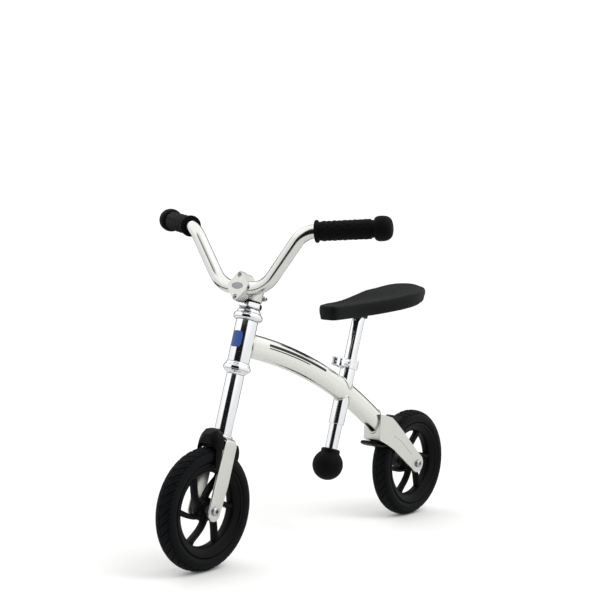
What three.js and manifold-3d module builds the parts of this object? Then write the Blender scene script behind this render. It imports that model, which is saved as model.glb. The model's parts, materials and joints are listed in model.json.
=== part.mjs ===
// Balance bike: a push-along bike for a small child, with no pedals.
//
// Millimetres, +X forward, +Y to the rider's left, +Z up. The origin is on the
// ground, midway between the axles. Two groups are turned about Y: the steering
// group has its origin beside the front axle and its Z along the steering axis,
// and the seat group has its origin at the foot ball and its Z along the post.

import * as THREE from 'three';
import { mergeVertices } from 'three/addons/utils/BufferGeometryUtils.js';
import Module from 'manifold-3d';

// ---------------------------------------------------------------- dimensions

const GAP = 0.3;                 // clearance between pieces that touch or turn

// Overall
const WHEELBASE = 566;
const TYRE_RADIUS = 100;
const HEAD_ANGLE = 17;           // steering axis, degrees back from upright
const SEAT_ANGLE = 17.4;         // seat post, degrees back from upright

// Wheels
const TYRE_HALF_WIDTH = 18;
const TYRE_HEIGHT = 23;          // from the rim's seat to the tread
const RIM_HALF_WIDTH = 15;
const RIM_LIP = 7;               // rim thickness at its sides
const RIM_DEPTH = 17;            // rim thickness in the middle
const SPOKES = 6;
const SPOKE_THICKNESS = 6;
const SPOKE_HALF_WIDTH = 6;
const SPOKE_SWEEP = 38;          // degrees a spoke turns from hub to rim
const SPOKE_BEND = 1.6;          // how much more it turns near the hub
const HUB_WALL = 4.7;            // round the bearings
const HUB_HALF_WIDTH = 14;
const BEARING_RADIUS = 11;
const BEARING_WIDTH = 7;
const AXLE_RADIUS = 4;
const SPACER_WALL = 2.2;
const AXLE_HEAD_RIM = 3.3;       // how far the bolt head stands out past the shank
const AXLE_HEAD_HEIGHT = 4.5;
const TYRE_CLEARANCE = 6;        // from the tread to a fender or a yoke
const TYRE_SIDE_CLEARANCE = 2.5; // from the tyre's side to a leg

// Fork
const FORK_RAKE = 5.3;           // axle ahead of the steering axis
const FORK_LEG = 3.5;            // strap thickness
const FORK_CROWN = 12;           // from the tyre's clearance up to the strap's top
const LEG_FRONT = 17.8;
const LEG_BACK = 13.8;
const LEG_TOP_HALF = 14.2;
const LEG_END_RADIUS = 13.3;
const LEG_TAPER_FRONT = 38;      // heights above the axle where the leg starts to narrow
const LEG_TAPER_BACK = 44;
const FORK_TUBE_WALL = 1.8;
const FORK_TUBE_LENGTH = 103.6;
const STEERER_RADIUS = 12.7;
const STEERER_WALL = 1.8;

// Head tube and headset, round the steerer and stacked along the steering axis
const CUP_SLEEVE = 2.5;          // room between steerer and head tube for the cups
const HEAD_TUBE_WALL = 2.5;
const HEAD_LENGTH = 70;
const CUP_HEIGHT = 12.5;
const CUP_OVERHANG = 6;          // how far the upper cup stands out past the head tube
const LOWER_CUP_OVERHANG = 4.5;
const CUP_INSERT = 10;
const RACE_WIDTH = 6.5;          // bearing, from bore to outside
const RACE_HEIGHT = 6;
const CROWN_CONE = 7;
const TOP_CONE = 6.5;
const WASHER_HEIGHT = 1.5;
const LOCK_NUT_HEIGHT = 8;
const LOCK_NUT_WIDTH = 7;        // from bore to corner
const SPACER_RING_HEIGHT = 2.6;
const SPACER_RING_WALL = 2;

// Frame tube: an oval tube on one arc that bends down to the rear wheel
const FRAME_HALF_HEIGHT = 20;
const FRAME_CHEEK = 0.8;         // wall left beside the seat tube that goes through it
const FRAME_WALL = 2;
const FRAME_JOINT_RISE = 30.7;   // where its axis meets the steering axis, above the head's bottom
const FRAME_START = 11.65;       // slope there, degrees
const FRAME_END_BEYOND = 21.3;   // its rear end, beyond the rear tyre
const FRAME_END_ANGLE = 39.6;    // and the direction to it from the rear axle, degrees

// Rear yoke
const YOKE_LEG = 3.5;
const YOKE_END_RADIUS = 17;

// Seat tube, post and foot ball
const SEAT_SHARE = 0.679;        // where the seat tube goes through the frame arc
const SEAT_DROP = 133.2;         // from there down to the ball's centre
const POST_RADIUS = 11.1;
const POST_WALL = 1.8;
const POST_TOP = 284;            // above the ball's centre
const POST_SCREW_DROP = 20;
const SEAT_TUBE_WALL = 2.2;
const SEAT_TUBE_BELOW = 59.8;    // below and above the middle of the frame tube
const SEAT_TUBE_ABOVE = 56.8;
const SEAT_SLOT = 2.2;
const COLLAR_WALL = 2.6;
const COLLAR_HEIGHT = 16;
const COLLAR_EAR = 8;            // how far the ears stand out
const COLLAR_EAR_HALF_WIDTH = 9;
const SKEWER_RADIUS = 2.5;
const EYE_HALF_HEIGHT = 4;
const CAM_PIN_RADIUS = 1.5;
const LEVER_LENGTH = 62;
const LEVER_WIDTH = 14;
const LEVER_THICKNESS = 4.5;
const POST_SCREW_RADIUS = 1.7;
const BALL_RADIUS = 27.2;
const BALL_COLLAR_WALL = 5.6;
const BALL_COLLAR_PROUD = 1.8;   // how far it stands above the ball
const BALL_COLLAR_DEPTH = 9.2;   // how far it goes in

// Saddle, placed from the top of the post
const SADDLE_NOSE_AHEAD = 101.1;
const SADDLE_NOSE_ABOVE = 12.7;
const SADDLE_LENGTH = 264;
const SADDLE_HALF_WIDTH = 54;
const SADDLE_NOSE_HALF_WIDTH = 20;
const SADDLE_TAIL_RISE = 27;
const SADDLE_DEPTH = 24;
const SADDLE_EDGE = 6;           // cushion wall round the base plate
const SADDLE_BASE_THICKNESS = 5;
const SADDLE_BOSS_WALL = 4.1;
const SADDLE_BOSS_DROP = 13;     // from the post's top to the boss's lower end
const SADDLE_SCREW_RADIUS = 2.2;
const SADDLE_SCREW_DEPTH = 14;

// Stem and handlebar
const BAR_RADIUS = 11;
const BAR_WALL = 1.8;
const STEM_RING_WALL = 4;
const STEM_RING_HEIGHT = 28;
const STEM_WEB = 3.3;            // metal between the steerer and the bar
const BAR_RISE = 5;              // from the stem's bottom up to the bar's underside
const BAR_FLAT_HALF = 46;        // corner where the bar leaves its flat middle
const BAR_BEND_LOW = 50;
const BAR_BEND_HIGH = 40;
const BAR_SHOULDER = [-8.7, 116.6, 93.8];   // upper corner, from the bar centre
const GRIP_END = [-64.8, 228.8, 102.7];    // grip end ball, from the bar centre
const GRIP_LENGTH = 106;
const GRIP_WALL = 4.7;
const GRIP_FLANGE = 2;           // how far the flange stands out past the grip
const GRIP_BALL = 4;             // and the end ball
const PLATE_HALF_WIDTH = 24;
const PLATE_COVER = 3;           // plate thickness in front of the bar
const PLATE_WEB = 4.8;           // metal between the bar and a plate bolt
const PLATE_END = 8.9;           // from a plate bolt to the plate's tip
const BOLT_RADIUS = 2.5;
const BOLT_HEAD_RADIUS = 4.3;
const BOLT_HEAD_HEIGHT = 4.4;
const PLATE_BOLT_LENGTH = 18;
const LUG_BOLT_RADIUS = 2;
const LUG_BOLT_HEAD_RADIUS = 3.6;
const LUG_RADIUS = 4.6;

const ROUND = 20;                // sides of an ordinary turned piece
const SMALL = 10;                // sides of a bolt

// ------------------------------------------------------------ sizes that follow

const beadRadius = TYRE_RADIUS - TYRE_HEIGHT;
const rimEdgeRadius = beadRadius - RIM_LIP;
const rimFloorRadius = beadRadius - RIM_DEPTH;
const hubRadius = BEARING_RADIUS + GAP + HUB_WALL;
const spacerRadius = AXLE_RADIUS + GAP + SPACER_WALL;
const axleHeadRadius = AXLE_RADIUS + AXLE_HEAD_RIM;
const frontLegInside = TYRE_HALF_WIDTH + TYRE_SIDE_CLEARANCE;
const forkHalfWidth = frontLegInside + FORK_LEG;
const rearLegInside = TYRE_HALF_WIDTH + TYRE_SIDE_CLEARANCE;
const yokeHalfWidth = rearLegInside + YOKE_LEG;
const forkTop = TYRE_RADIUS + TYRE_CLEARANCE + FORK_CROWN;
const steererRoom = STEERER_RADIUS + GAP;
const forkTubeRadius = STEERER_RADIUS + FORK_TUBE_WALL;
const headBore = steererRoom + CUP_SLEEVE;
const headTubeRadius = headBore + HEAD_TUBE_WALL;
const cupRadius = headTubeRadius + CUP_OVERHANG;
const lowerCupRadius = headTubeRadius + LOWER_CUP_OVERHANG;
const raceRadius = steererRoom + RACE_WIDTH;
const forkTubeTop = forkTop + GAP + FORK_TUBE_LENGTH;
const headBottom = forkTubeTop + GAP + CROWN_CONE + GAP + CUP_HEIGHT;
const headTop = headBottom + HEAD_LENGTH;
const cupTop = headTop + CUP_HEIGHT;
const lockNutRadius = steererRoom + LOCK_NUT_WIDTH;
const lockNutTop = cupTop + TOP_CONE + WASHER_HEIGHT + LOCK_NUT_HEIGHT + 3 * GAP;
const stemBottom = lockNutTop + SPACER_RING_HEIGHT + 2 * GAP;
const stemTop = stemBottom + STEM_RING_HEIGHT;
const stemRingRadius = steererRoom + STEM_RING_WALL;
const barForward = steererRoom + STEM_WEB + GAP + BAR_RADIUS;
const barHeight = stemBottom + BAR_RISE + BAR_RADIUS;
const plateBoltOffset = BAR_RADIUS + GAP + BOLT_RADIUS + PLATE_WEB;
const plateHalfHeight = plateBoltOffset + PLATE_END;
const gripRadius = BAR_RADIUS + GAP + GRIP_WALL;
const gripBallRadius = gripRadius + GRIP_BALL;
const seatTubeRadius = POST_RADIUS + GAP + SEAT_TUBE_WALL;
const seatTubeBottom = SEAT_DROP - SEAT_TUBE_BELOW;
const seatTubeTop = SEAT_DROP + SEAT_TUBE_ABOVE;
const frameHalfWidth = seatTubeRadius + GAP + FRAME_CHEEK;
const ballCollarRadius = POST_RADIUS + GAP + BALL_COLLAR_WALL;
const ballCollarTop = BALL_RADIUS + BALL_COLLAR_PROUD;
const ballCollarSeat = BALL_RADIUS - BALL_COLLAR_DEPTH;
const saddleBossRadius = POST_RADIUS + GAP + SADDLE_BOSS_WALL;

// ----------------------------------------------------------------- materials

const finishes = {
  polished: { color: 0xe2e4e6, roughness: 0.12, metalness: 1 },
  satin: { color: 0xc8cac9, roughness: 0.35, metalness: 1 },
  steel: { color: 0x9a9c9e, roughness: 0.3, metalness: 1 },
  rubber: { color: 0x151517, roughness: 0.85, metalness: 0 },
  plastic: { color: 0x1b1c1f, roughness: 0.5, metalness: 0 },
};

// --------------------------------------------------------------- solid tools

const wasm = await Module();
wasm.setup();

function toSolid(geometry) {
  const bare = geometry.clone();
  bare.deleteAttribute('normal');
  bare.deleteAttribute('uv');
  const merged = mergeVertices(bare, 1e-4);
  return new wasm.Manifold(new wasm.Mesh({
    numProp: 3,
    vertProperties: Float32Array.from(merged.attributes.position.array),
    triVerts: Uint32Array.from(merged.index.array),
  }));
}

function toGeometry(solid) {
  const mesh = solid.getMesh();
  const geometry = new THREE.BufferGeometry();
  const positions = Float32Array.from(mesh.vertProperties);
  geometry.setAttribute('position', new THREE.BufferAttribute(positions, 3));
  geometry.setIndex(new THREE.BufferAttribute(Uint32Array.from(mesh.triVerts), 1));
  return geometry;
}

function join(first, ...others) {
  return toGeometry(others.map(toSolid).reduce((sum, solid) => sum.add(solid), toSolid(first)));
}

function cut(first, ...others) {
  return toGeometry(others.map(toSolid).reduce((rest, solid) => rest.subtract(solid), toSolid(first)));
}

function common(first, ...others) {
  return toGeometry(others.map(toSolid).reduce((rest, solid) => rest.intersect(solid), toSolid(first)));
}

// ------------------------------------------------------------- shape helpers

const radians = THREE.MathUtils.degToRad;

// A round bar along Z.
function rod(radius, from, to, sides = ROUND) {
  return new THREE.CylinderGeometry(radius, radius, to - from, sides).rotateX(Math.PI / 2)
    .translate(0, 0, (from + to) / 2);
}

// A round bar along Y.
function crossRod(radius, from, to, sides = ROUND) {
  return new THREE.CylinderGeometry(radius, radius, to - from, sides).translate(0, (from + to) / 2, 0);
}

// A round bar along X.
function longRod(radius, from, to, sides = ROUND) {
  return new THREE.CylinderGeometry(radius, radius, to - from, sides).rotateZ(-Math.PI / 2)
    .translate((from + to) / 2, 0, 0);
}

// A block given by its two far corners.
function block(low, high) {
  const size = high.map((value, i) => value - low[i]);
  return new THREE.BoxGeometry(...size).translate(...high.map((value, i) => (value + low[i]) / 2));
}

// A profile of [radius, height] points turned about Z.
function turned(profile, sides = ROUND) {
  const points = profile.map(([radius, height]) => new THREE.Vector2(radius, height));
  return new THREE.LatheGeometry(points, sides).rotateX(Math.PI / 2);
}

// A plain ring about Z.
function ring(outer, inner, from, to, sides = ROUND) {
  return turned([[inner, from], [outer, from], [outer, to], [inner, to], [inner, from]], sides);
}

function polygon(points) {
  return new THREE.Shape(points.map(([x, y]) => new THREE.Vector2(x, y)));
}

function extruded(shape, depth, curveSegments = 10) {
  return new THREE.ExtrudeGeometry(shape, { depth, bevelEnabled: false, curveSegments });
}

// A side outline in X and Z, as thick as the two Y values.
function sidePlate(shape, from, to, curveSegments) {
  return extruded(shape, to - from, curveSegments).rotateX(Math.PI / 2).translate(0, to, 0);
}

// A front outline in Y and Z, as thick as the two X values.
function frontPlate(shape, from, to, curveSegments) {
  const turn = new THREE.Matrix4().makeBasis(
    new THREE.Vector3(0, 1, 0), new THREE.Vector3(0, 0, 1), new THREE.Vector3(1, 0, 0));
  return extruded(shape, to - from, curveSegments).applyMatrix4(turn).translate(from, 0, 0);
}

// A plan outline in X and Y, as tall as the two Z values.
function planPlate(shape, from, to, curveSegments) {
  return extruded(shape, to - from, curveSegments).translate(0, 0, from);
}

// An upright rectangle with rounded corners, centred on x = 0.
function roundedBox(halfWidth, bottom, top, radius) {
  const shape = new THREE.Shape();
  shape.moveTo(-halfWidth, bottom);
  shape.lineTo(halfWidth, bottom);
  shape.lineTo(halfWidth, top - radius);
  shape.absarc(halfWidth - radius, top - radius, radius, 0, Math.PI / 2, false);
  shape.lineTo(-halfWidth + radius, top);
  shape.absarc(-halfWidth + radius, top - radius, radius, Math.PI / 2, Math.PI, false);
  shape.closePath();
  return shape;
}

// An oval of two radii.
function oval(halfWidth, halfHeight) {
  const shape = new THREE.Shape();
  shape.absellipse(0, 0, halfWidth, halfHeight, 0, 2 * Math.PI, false, 0);
  return shape;
}

// The run of a round section along a path.
function tube(path, radius, steps, sides = 10) {
  const section = new THREE.Shape();
  section.absarc(0, 0, radius, 0, 2 * Math.PI, false);
  return new THREE.ExtrudeGeometry(section, { steps, extrudePath: path, curveSegments: sides / 2 });
}

// A path of straight runs with rounded corners: corners are [point, radius] pairs.
function filletedPath(start, corners, end) {
  const path = new THREE.CurvePath();
  let from = start;
  corners.forEach(([corner, radius], i) => {
    const next = i + 1 < corners.length ? corners[i + 1][0] : end;
    const back = from.clone().sub(corner).normalize();
    const ahead = next.clone().sub(corner).normalize();
    const reach = radius / Math.tan(back.angleTo(ahead) / 2);
    const enter = corner.clone().addScaledVector(back, reach);
    const leave = corner.clone().addScaledVector(ahead, reach);
    path.add(new THREE.LineCurve3(from, enter));
    path.add(new THREE.CubicBezierCurve3(enter, enter.clone().addScaledVector(back, -reach * 0.58),
      leave.clone().addScaledVector(ahead, -reach * 0.58), leave));
    from = leave;
  });
  path.add(new THREE.LineCurve3(from, end));
  return path;
}

// ------------------------------------------------------------------ assembly

const bike = new THREE.Group();
const steering = new THREE.Group();
const seat = new THREE.Group();
const rear = new THREE.Group();
bike.add(steering, seat, rear);
steering.rotation.y = -radians(HEAD_ANGLE);
seat.rotation.y = -radians(SEAT_ANGLE);
rear.position.set(-WHEELBASE / 2, 0, TYRE_RADIUS);
// The front axle is FORK_RAKE ahead of the steering axis.
steering.position.set(
  WHEELBASE / 2 - FORK_RAKE * Math.cos(radians(HEAD_ANGLE)), 0,
  TYRE_RADIUS - FORK_RAKE * Math.sin(radians(HEAD_ANGLE)));

// A point given by its height on a group's own Z axis, in the bike's frame.
function onAxis(group, angle, height) {
  return new THREE.Vector3(-height * Math.sin(radians(angle)), 0, height * Math.cos(radians(angle)))
    .add(group.position);
}

// The arc that the frame tube follows: it leaves the steering axis at its start slope
// and ends at a point beyond the rear tyre, which sets its radius and its end slope.
const frameJoint = onAxis(steering, HEAD_ANGLE, headBottom + FRAME_JOINT_RISE);
const frameRear = new THREE.Vector3(1, 0, 0)
  .applyAxisAngle(new THREE.Vector3(0, -1, 0), radians(FRAME_END_ANGLE))
  .multiplyScalar(TYRE_RADIUS + FRAME_END_BEYOND).add(rear.position);
const frameChord = frameJoint.clone().sub(frameRear);
const chordSlope = THREE.MathUtils.radToDeg(Math.atan2(frameChord.z, frameChord.x));
const frameArc = frameChord.length() / 2 / Math.sin(radians(chordSlope - FRAME_START));
const frameEnd = 2 * chordSlope - FRAME_START;
const arcCentre = [
  frameJoint.x + frameArc * Math.sin(radians(FRAME_START)),
  frameJoint.z - frameArc * Math.cos(radians(FRAME_START))];

function onFrameArc(slope) {
  const turn = radians(slope);
  return new THREE.Vector3(
    arcCentre[0] - frameArc * Math.sin(turn), 0, arcCentre[1] + frameArc * Math.cos(turn));
}

// The seat group's origin is the ball's centre, below where the seat tube goes through the frame.
seat.position.copy(onFrameArc(FRAME_START + SEAT_SHARE * (frameEnd - FRAME_START)));
seat.position.copy(onAxis(seat, SEAT_ANGLE, -SEAT_DROP));
const postTop = onAxis(seat, SEAT_ANGLE, POST_TOP);

function piece(parent, name, finish, geometry) {
  const mesh = new THREE.Mesh(geometry, new THREE.MeshStandardMaterial(finishes[finish]));
  mesh.name = name;
  parent.add(mesh);
  return mesh;
}

// -------------------------------------------------------------------- wheels

function tyreShape() {
  const profile = [
    [beadRadius + GAP, -RIM_HALF_WIDTH + 1], [beadRadius + 5, -TYRE_HALF_WIDTH * 0.92],
    [TYRE_RADIUS - TYRE_HEIGHT * 0.48, -TYRE_HALF_WIDTH],
    [TYRE_RADIUS - TYRE_HEIGHT * 0.26, -TYRE_HALF_WIDTH * 0.84],
    [TYRE_RADIUS - 2, -TYRE_HALF_WIDTH * 0.55], [TYRE_RADIUS, -TYRE_HALF_WIDTH * 0.18]];
  const across = profile.concat(profile.map(([radius, y]) => [radius, -y]).reverse());
  across.push(across[0]);
  return turned(across, 36).rotateX(-Math.PI / 2);
}

function rimShape(phase) {
  const barrel = [
    [beadRadius, -RIM_HALF_WIDTH], [beadRadius, RIM_HALF_WIDTH],
    [rimEdgeRadius, RIM_HALF_WIDTH], [rimFloorRadius, SPOKE_HALF_WIDTH + 1],
    [rimFloorRadius, -SPOKE_HALF_WIDTH - 1], [rimEdgeRadius, -RIM_HALF_WIDTH],
    [beadRadius, -RIM_HALF_WIDTH]];
  const solids = [
    turned(barrel, 36).rotateX(-Math.PI / 2),
    crossRod(hubRadius, -HUB_HALF_WIDTH, HUB_HALF_WIDTH)];
  for (let i = 0; i < SPOKES; i += 1) {
    const turn = radians(phase + 360 * i / SPOKES);
    solids.push(spokeShape().rotateY(-turn));
  }
  return cut(join(...solids), crossRod(spacerRadius + 1.5, -HUB_HALF_WIDTH - 1, HUB_HALF_WIDTH + 1),
    crossRod(BEARING_RADIUS + GAP, HUB_HALF_WIDTH - BEARING_WIDTH, HUB_HALF_WIDTH + 1),
    crossRod(BEARING_RADIUS + GAP, -HUB_HALF_WIDTH - 1, -HUB_HALF_WIDTH + BEARING_WIDTH));
}

// One curved blade: its middle line turns steadily back from the rim to the hub.
function spokeShape() {
  const inner = hubRadius - 3;
  const outer = rimFloorRadius + 3;
  const lean = radians(20);
  const steps = 8;
  const edge = (side) => Array.from({ length: steps + 1 }, (_, i) => {
    const share = i / steps;
    const radius = inner + (outer - inner) * share;
    const turn = -radians(SPOKE_SWEEP) * (1 - share) ** SPOKE_BEND;
    return [
      radius * Math.cos(turn) + side * SPOKE_THICKNESS / 2 * Math.sin(turn - lean),
      radius * Math.sin(turn) - side * SPOKE_THICKNESS / 2 * Math.cos(turn - lean)];
  });
  return sidePlate(polygon([...edge(1), ...edge(-1).reverse()]), -SPOKE_HALF_WIDTH, SPOKE_HALF_WIDTH);
}

// A wheel with its bearings, and the axle set that stays with the fork or yoke.
function wheel(parent, end, centre, phase, legInside, legOutside) {
  const holder = new THREE.Group();
  holder.position.set(...centre);
  parent.add(holder);
  piece(holder, `${end}_tyre`, 'rubber', tyreShape());
  piece(holder, `${end}_rim`, 'plastic', rimShape(phase));
  const inside = HUB_HALF_WIDTH - BEARING_WIDTH;
  for (const [side, sign] of [['left', 1], ['right', -1]]) {
    const bearing = ring(BEARING_RADIUS, AXLE_RADIUS + GAP, inside + GAP, HUB_HALF_WIDTH);
    piece(holder, `${end}_wheel_bearing_${side}`, 'steel', bearing.rotateX(-sign * Math.PI / 2));
    const spacer = ring(spacerRadius, AXLE_RADIUS + GAP, HUB_HALF_WIDTH + GAP, legInside - GAP, SMALL);
    piece(holder, `${end}_axle_spacer_${side}`, 'steel', spacer.rotateX(-sign * Math.PI / 2));
  }
  const sleeve = ring(spacerRadius, AXLE_RADIUS + GAP, -inside + GAP, inside - GAP, SMALL);
  piece(holder, `${end}_axle_sleeve`, 'steel', sleeve.rotateX(-Math.PI / 2));
  piece(holder, `${end}_axle_bolt`, 'steel', axleBolt(legOutside));
  piece(holder, `${end}_axle_nut`, 'steel', axleNut(legOutside));
}

// A long bolt along Y with a round socket head on the left.
function axleBolt(legOutside) {
  const head = legOutside + GAP;
  const profile = [
    [0, -legOutside - 2], [AXLE_RADIUS, -legOutside - 2], [AXLE_RADIUS, head],
    [axleHeadRadius, head], [axleHeadRadius, head + AXLE_HEAD_HEIGHT - 1.4],
    [axleHeadRadius - 2, head + AXLE_HEAD_HEIGHT], [0, head + AXLE_HEAD_HEIGHT]];
  const key = AXLE_RADIUS - 0.5;
  const socket = new THREE.CylinderGeometry(key, key, 6, 6).translate(0, head + AXLE_HEAD_HEIGHT, 0);
  return cut(turned(profile, ROUND).rotateX(-Math.PI / 2), socket);
}

// A cap nut that the bolt screws into from the right.
function axleNut(legOutside) {
  const face = -legOutside - GAP;
  const body = crossRod(axleHeadRadius, face - AXLE_HEAD_HEIGHT, face);
  return cut(body, crossRod(AXLE_RADIUS + GAP, face - 2 - GAP, face + 1, SMALL));
}

wheel(steering, 'front', [FORK_RAKE, 0, 0], 4 - HEAD_ANGLE, frontLegInside, forkHalfWidth);
wheel(rear, 'rear', [0, 0, 0], -4, rearLegInside, yokeHalfWidth);

// ---------------------------------------------------------------------- fork

// The space that the wheel turns in: a drum with a rounded crown, about the axle.
function wheelSpace(radius, halfWidth) {
  return turned([
    [0, -halfWidth], [radius - 8, -halfWidth], [radius, -halfWidth + 8], [radius, halfWidth - 8],
    [radius - 8, halfWidth], [0, halfWidth]], 48).rotateX(-Math.PI / 2);
}

function forkBracket() {
  const leg = new THREE.Shape();
  const heel = LEG_END_RADIUS * 0.26;
  leg.absarc(FORK_RAKE - 0.8, -heel, LEG_END_RADIUS, Math.PI, 2 * Math.PI, false);
  leg.lineTo(LEG_FRONT, LEG_TAPER_FRONT);
  leg.lineTo(LEG_TOP_HALF, forkTop - 7);
  leg.quadraticCurveTo(LEG_TOP_HALF, forkTop + 1, LEG_TOP_HALF - 6, forkTop + 1);
  leg.lineTo(-LEG_TOP_HALF + 6, forkTop + 1);
  leg.quadraticCurveTo(-LEG_TOP_HALF, forkTop + 1, -LEG_TOP_HALF, forkTop - 7);
  leg.lineTo(-LEG_BACK, LEG_TAPER_BACK);
  leg.closePath();
  const outside = frontPlate(roundedBox(forkHalfWidth, -60, forkTop, 8), -60, 60, 6);
  const inside = frontPlate(
    roundedBox(frontLegInside, -61, forkTop - FORK_LEG, 5), -61, 61, 6);
  const strap = common(sidePlate(leg, -60, 60, 8), outside);
  const hole = crossRod(AXLE_RADIUS + GAP, -60, 60, 20).translate(FORK_RAKE, 0, 0);
  return cut(strap, inside, hole, rod(BOLT_RADIUS + GAP, forkTop - 20, forkTop + 10, SMALL));
}

function forkTube() {
  return ring(forkTubeRadius, steererRoom, forkTop + GAP, forkTubeTop);
}

function steererTube() {
  return ring(STEERER_RADIUS, STEERER_RADIUS - STEERER_WALL, forkTop + GAP, stemTop - 1);
}

// A hood that wraps the strap before and behind, open for the tyre.
function frontFender() {
  const outline = polygon([
    [LEG_BACK, -36], [25, -34], [28, -16], [33, -1], [37, 8], [38, 17], [34, 25], [26, 29.5], [17, 29],
    [9, 12], [-9, 12], [-18, 10], [-22.5, 2], [-24, -8], [-22, -20], [-LEG_BACK, -26],
  ].map(([forward, aboveTyre]) => [forward, TYRE_RADIUS + aboveTyre]));
  const plan = new THREE.Shape();
  plan.moveTo(-26, -forkHalfWidth);
  plan.lineTo(20, -forkHalfWidth);
  plan.bezierCurveTo(31, -forkHalfWidth, 38.5, -13, 38.5, 0);
  plan.bezierCurveTo(38.5, 13, 31, forkHalfWidth, 20, forkHalfWidth);
  plan.lineTo(-26, forkHalfWidth);
  plan.closePath();
  const low = TYRE_RADIUS - 60;
  const high = TYRE_RADIUS + 50;
  const crown = frontPlate(roundedBox(forkHalfWidth, low, TYRE_RADIUS + 30, 15), -60, 60, 8);
  const side = sidePlate(outline, -forkHalfWidth - 1, forkHalfWidth + 1);
  const hood = common(side, planPlate(plan, low, high, 10), crown);
  const wheelRoom = wheelSpace(TYRE_RADIUS + TYRE_CLEARANCE, frontLegInside + 0.5)
    .translate(FORK_RAKE, 0, 0);
  const strapRoom = cut(
    block([-LEG_TOP_HALF - 0.5, -40, low - 10], [LEG_FRONT + GAP, 40, high]),
    frontPlate(roundedBox(frontLegInside - GAP, 0, forkTop - FORK_LEG - GAP, 5), -60, 60, 6));
  return cut(hood, wheelRoom, strapRoom, rod(BOLT_RADIUS + GAP, low, high, SMALL));
}

// A round-headed screw up through the fender and the strap.
function fenderScrew() {
  return turned([
    [0, TYRE_RADIUS + 3], [BOLT_HEAD_RADIUS, TYRE_RADIUS + 3.5], [BOLT_HEAD_RADIUS, TYRE_RADIUS + 5.1],
    [BOLT_RADIUS, TYRE_RADIUS + 5.1], [BOLT_RADIUS, forkTop + 6], [0, forkTop + 6]], SMALL);
}

// ------------------------------------------------------------------- headset

function upperCup() {
  return turned([
    [steererRoom + 0.4, headTop - CUP_INSERT], [headBore - GAP, headTop - CUP_INSERT],
    [headBore - GAP, headTop + GAP], [cupRadius - 3.5, headTop + GAP],
    [cupRadius - 0.8, headTop + 2.6], [cupRadius, headTop + CUP_HEIGHT / 2],
    [cupRadius - 0.8, cupTop - 2.6], [cupRadius - 3, cupTop],
    [raceRadius + GAP, cupTop], [raceRadius + GAP, cupTop - RACE_HEIGHT],
    [steererRoom + 0.4, cupTop - RACE_HEIGHT], [steererRoom + 0.4, headTop - CUP_INSERT]]);
}

function lowerCup() {
  const bottom = headBottom - CUP_HEIGHT;
  return turned([
    [raceRadius + GAP, bottom], [lowerCupRadius, bottom], [lowerCupRadius, bottom + 6],
    [lowerCupRadius - 2.5, bottom + 7.5], [lowerCupRadius - 2.5, headBottom - 1.5],
    [lowerCupRadius - 4, headBottom - GAP], [headBore - GAP, headBottom - GAP],
    [headBore - GAP, headBottom + CUP_INSERT], [steererRoom + 0.4, headBottom + CUP_INSERT],
    [steererRoom + 0.4, bottom + RACE_HEIGHT], [raceRadius + GAP, bottom + RACE_HEIGHT],
    [raceRadius + GAP, bottom]]);
}

function crownCone() {
  const top = headBottom - CUP_HEIGHT - GAP;
  return turned([
    [steererRoom, top - CROWN_CONE], [forkTubeRadius + 0.8, top - CROWN_CONE],
    [lowerCupRadius - 2.6, top - 2], [lowerCupRadius - 2, top], [steererRoom, top],
    [steererRoom, top - CROWN_CONE]]);
}

function topCone() {
  const bottom = cupTop + GAP;
  return turned([
    [steererRoom, bottom], [raceRadius, bottom], [raceRadius, bottom + 2.2],
    [raceRadius - 3, bottom + TOP_CONE], [steererRoom, bottom + TOP_CONE], [steererRoom, bottom]]);
}

function lockNut() {
  const bottom = lockNutTop - LOCK_NUT_HEIGHT;
  const hexagon = rod(lockNutRadius, bottom, lockNutTop, 6);
  const chamfer = turned([
    [0, bottom], [lockNutRadius - 1.4, bottom], [lockNutRadius, bottom + 1.4],
    [lockNutRadius, lockNutTop - 1.4], [lockNutRadius - 1.4, lockNutTop], [0, lockNutTop]]);
  return cut(common(hexagon, chamfer), rod(steererRoom, bottom - 1, lockNutTop + 1));
}

// -------------------------------------------------------------------- stem

// The four-cornered outline with rounded points that the clamp and plate share.
function diamond(halfWidth, halfHeight) {
  const shape = new THREE.Shape();
  const corner = 0.22;
  const point = (y, z) => [y * halfWidth, barHeight + z * halfHeight];
  shape.moveTo(...point(1 - corner, -corner));
  shape.quadraticCurveTo(...point(1, 0), ...point(1 - corner, corner));
  shape.lineTo(...point(corner, 1 - corner));
  shape.quadraticCurveTo(...point(0, 1.02), ...point(-corner, 1 - corner));
  shape.lineTo(...point(-1 + corner, corner));
  shape.quadraticCurveTo(...point(-1, 0), ...point(-1 + corner, -corner));
  shape.lineTo(...point(-corner, -1 + corner));
  shape.quadraticCurveTo(...point(0, -1.02), ...point(corner, -1 + corner));
  shape.closePath();
  return shape;
}

function barRoom() {
  return crossRod(BAR_RADIUS + GAP, -60, 60, 28).translate(barForward, 0, barHeight);
}

function plateBoltRoom(radius, from, to) {
  return [1, -1].map((side) => longRod(radius, from, to, SMALL)
    .translate(0, 0, barHeight + side * plateBoltOffset));
}

const lugBolts = {
  front: { forward: steererRoom + 5.2, height: stemBottom + LUG_RADIUS, halfWidth: 8 },
  rear: { forward: -steererRoom - 9, height: stemBottom + 10, halfWidth: 7 },
};

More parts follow.
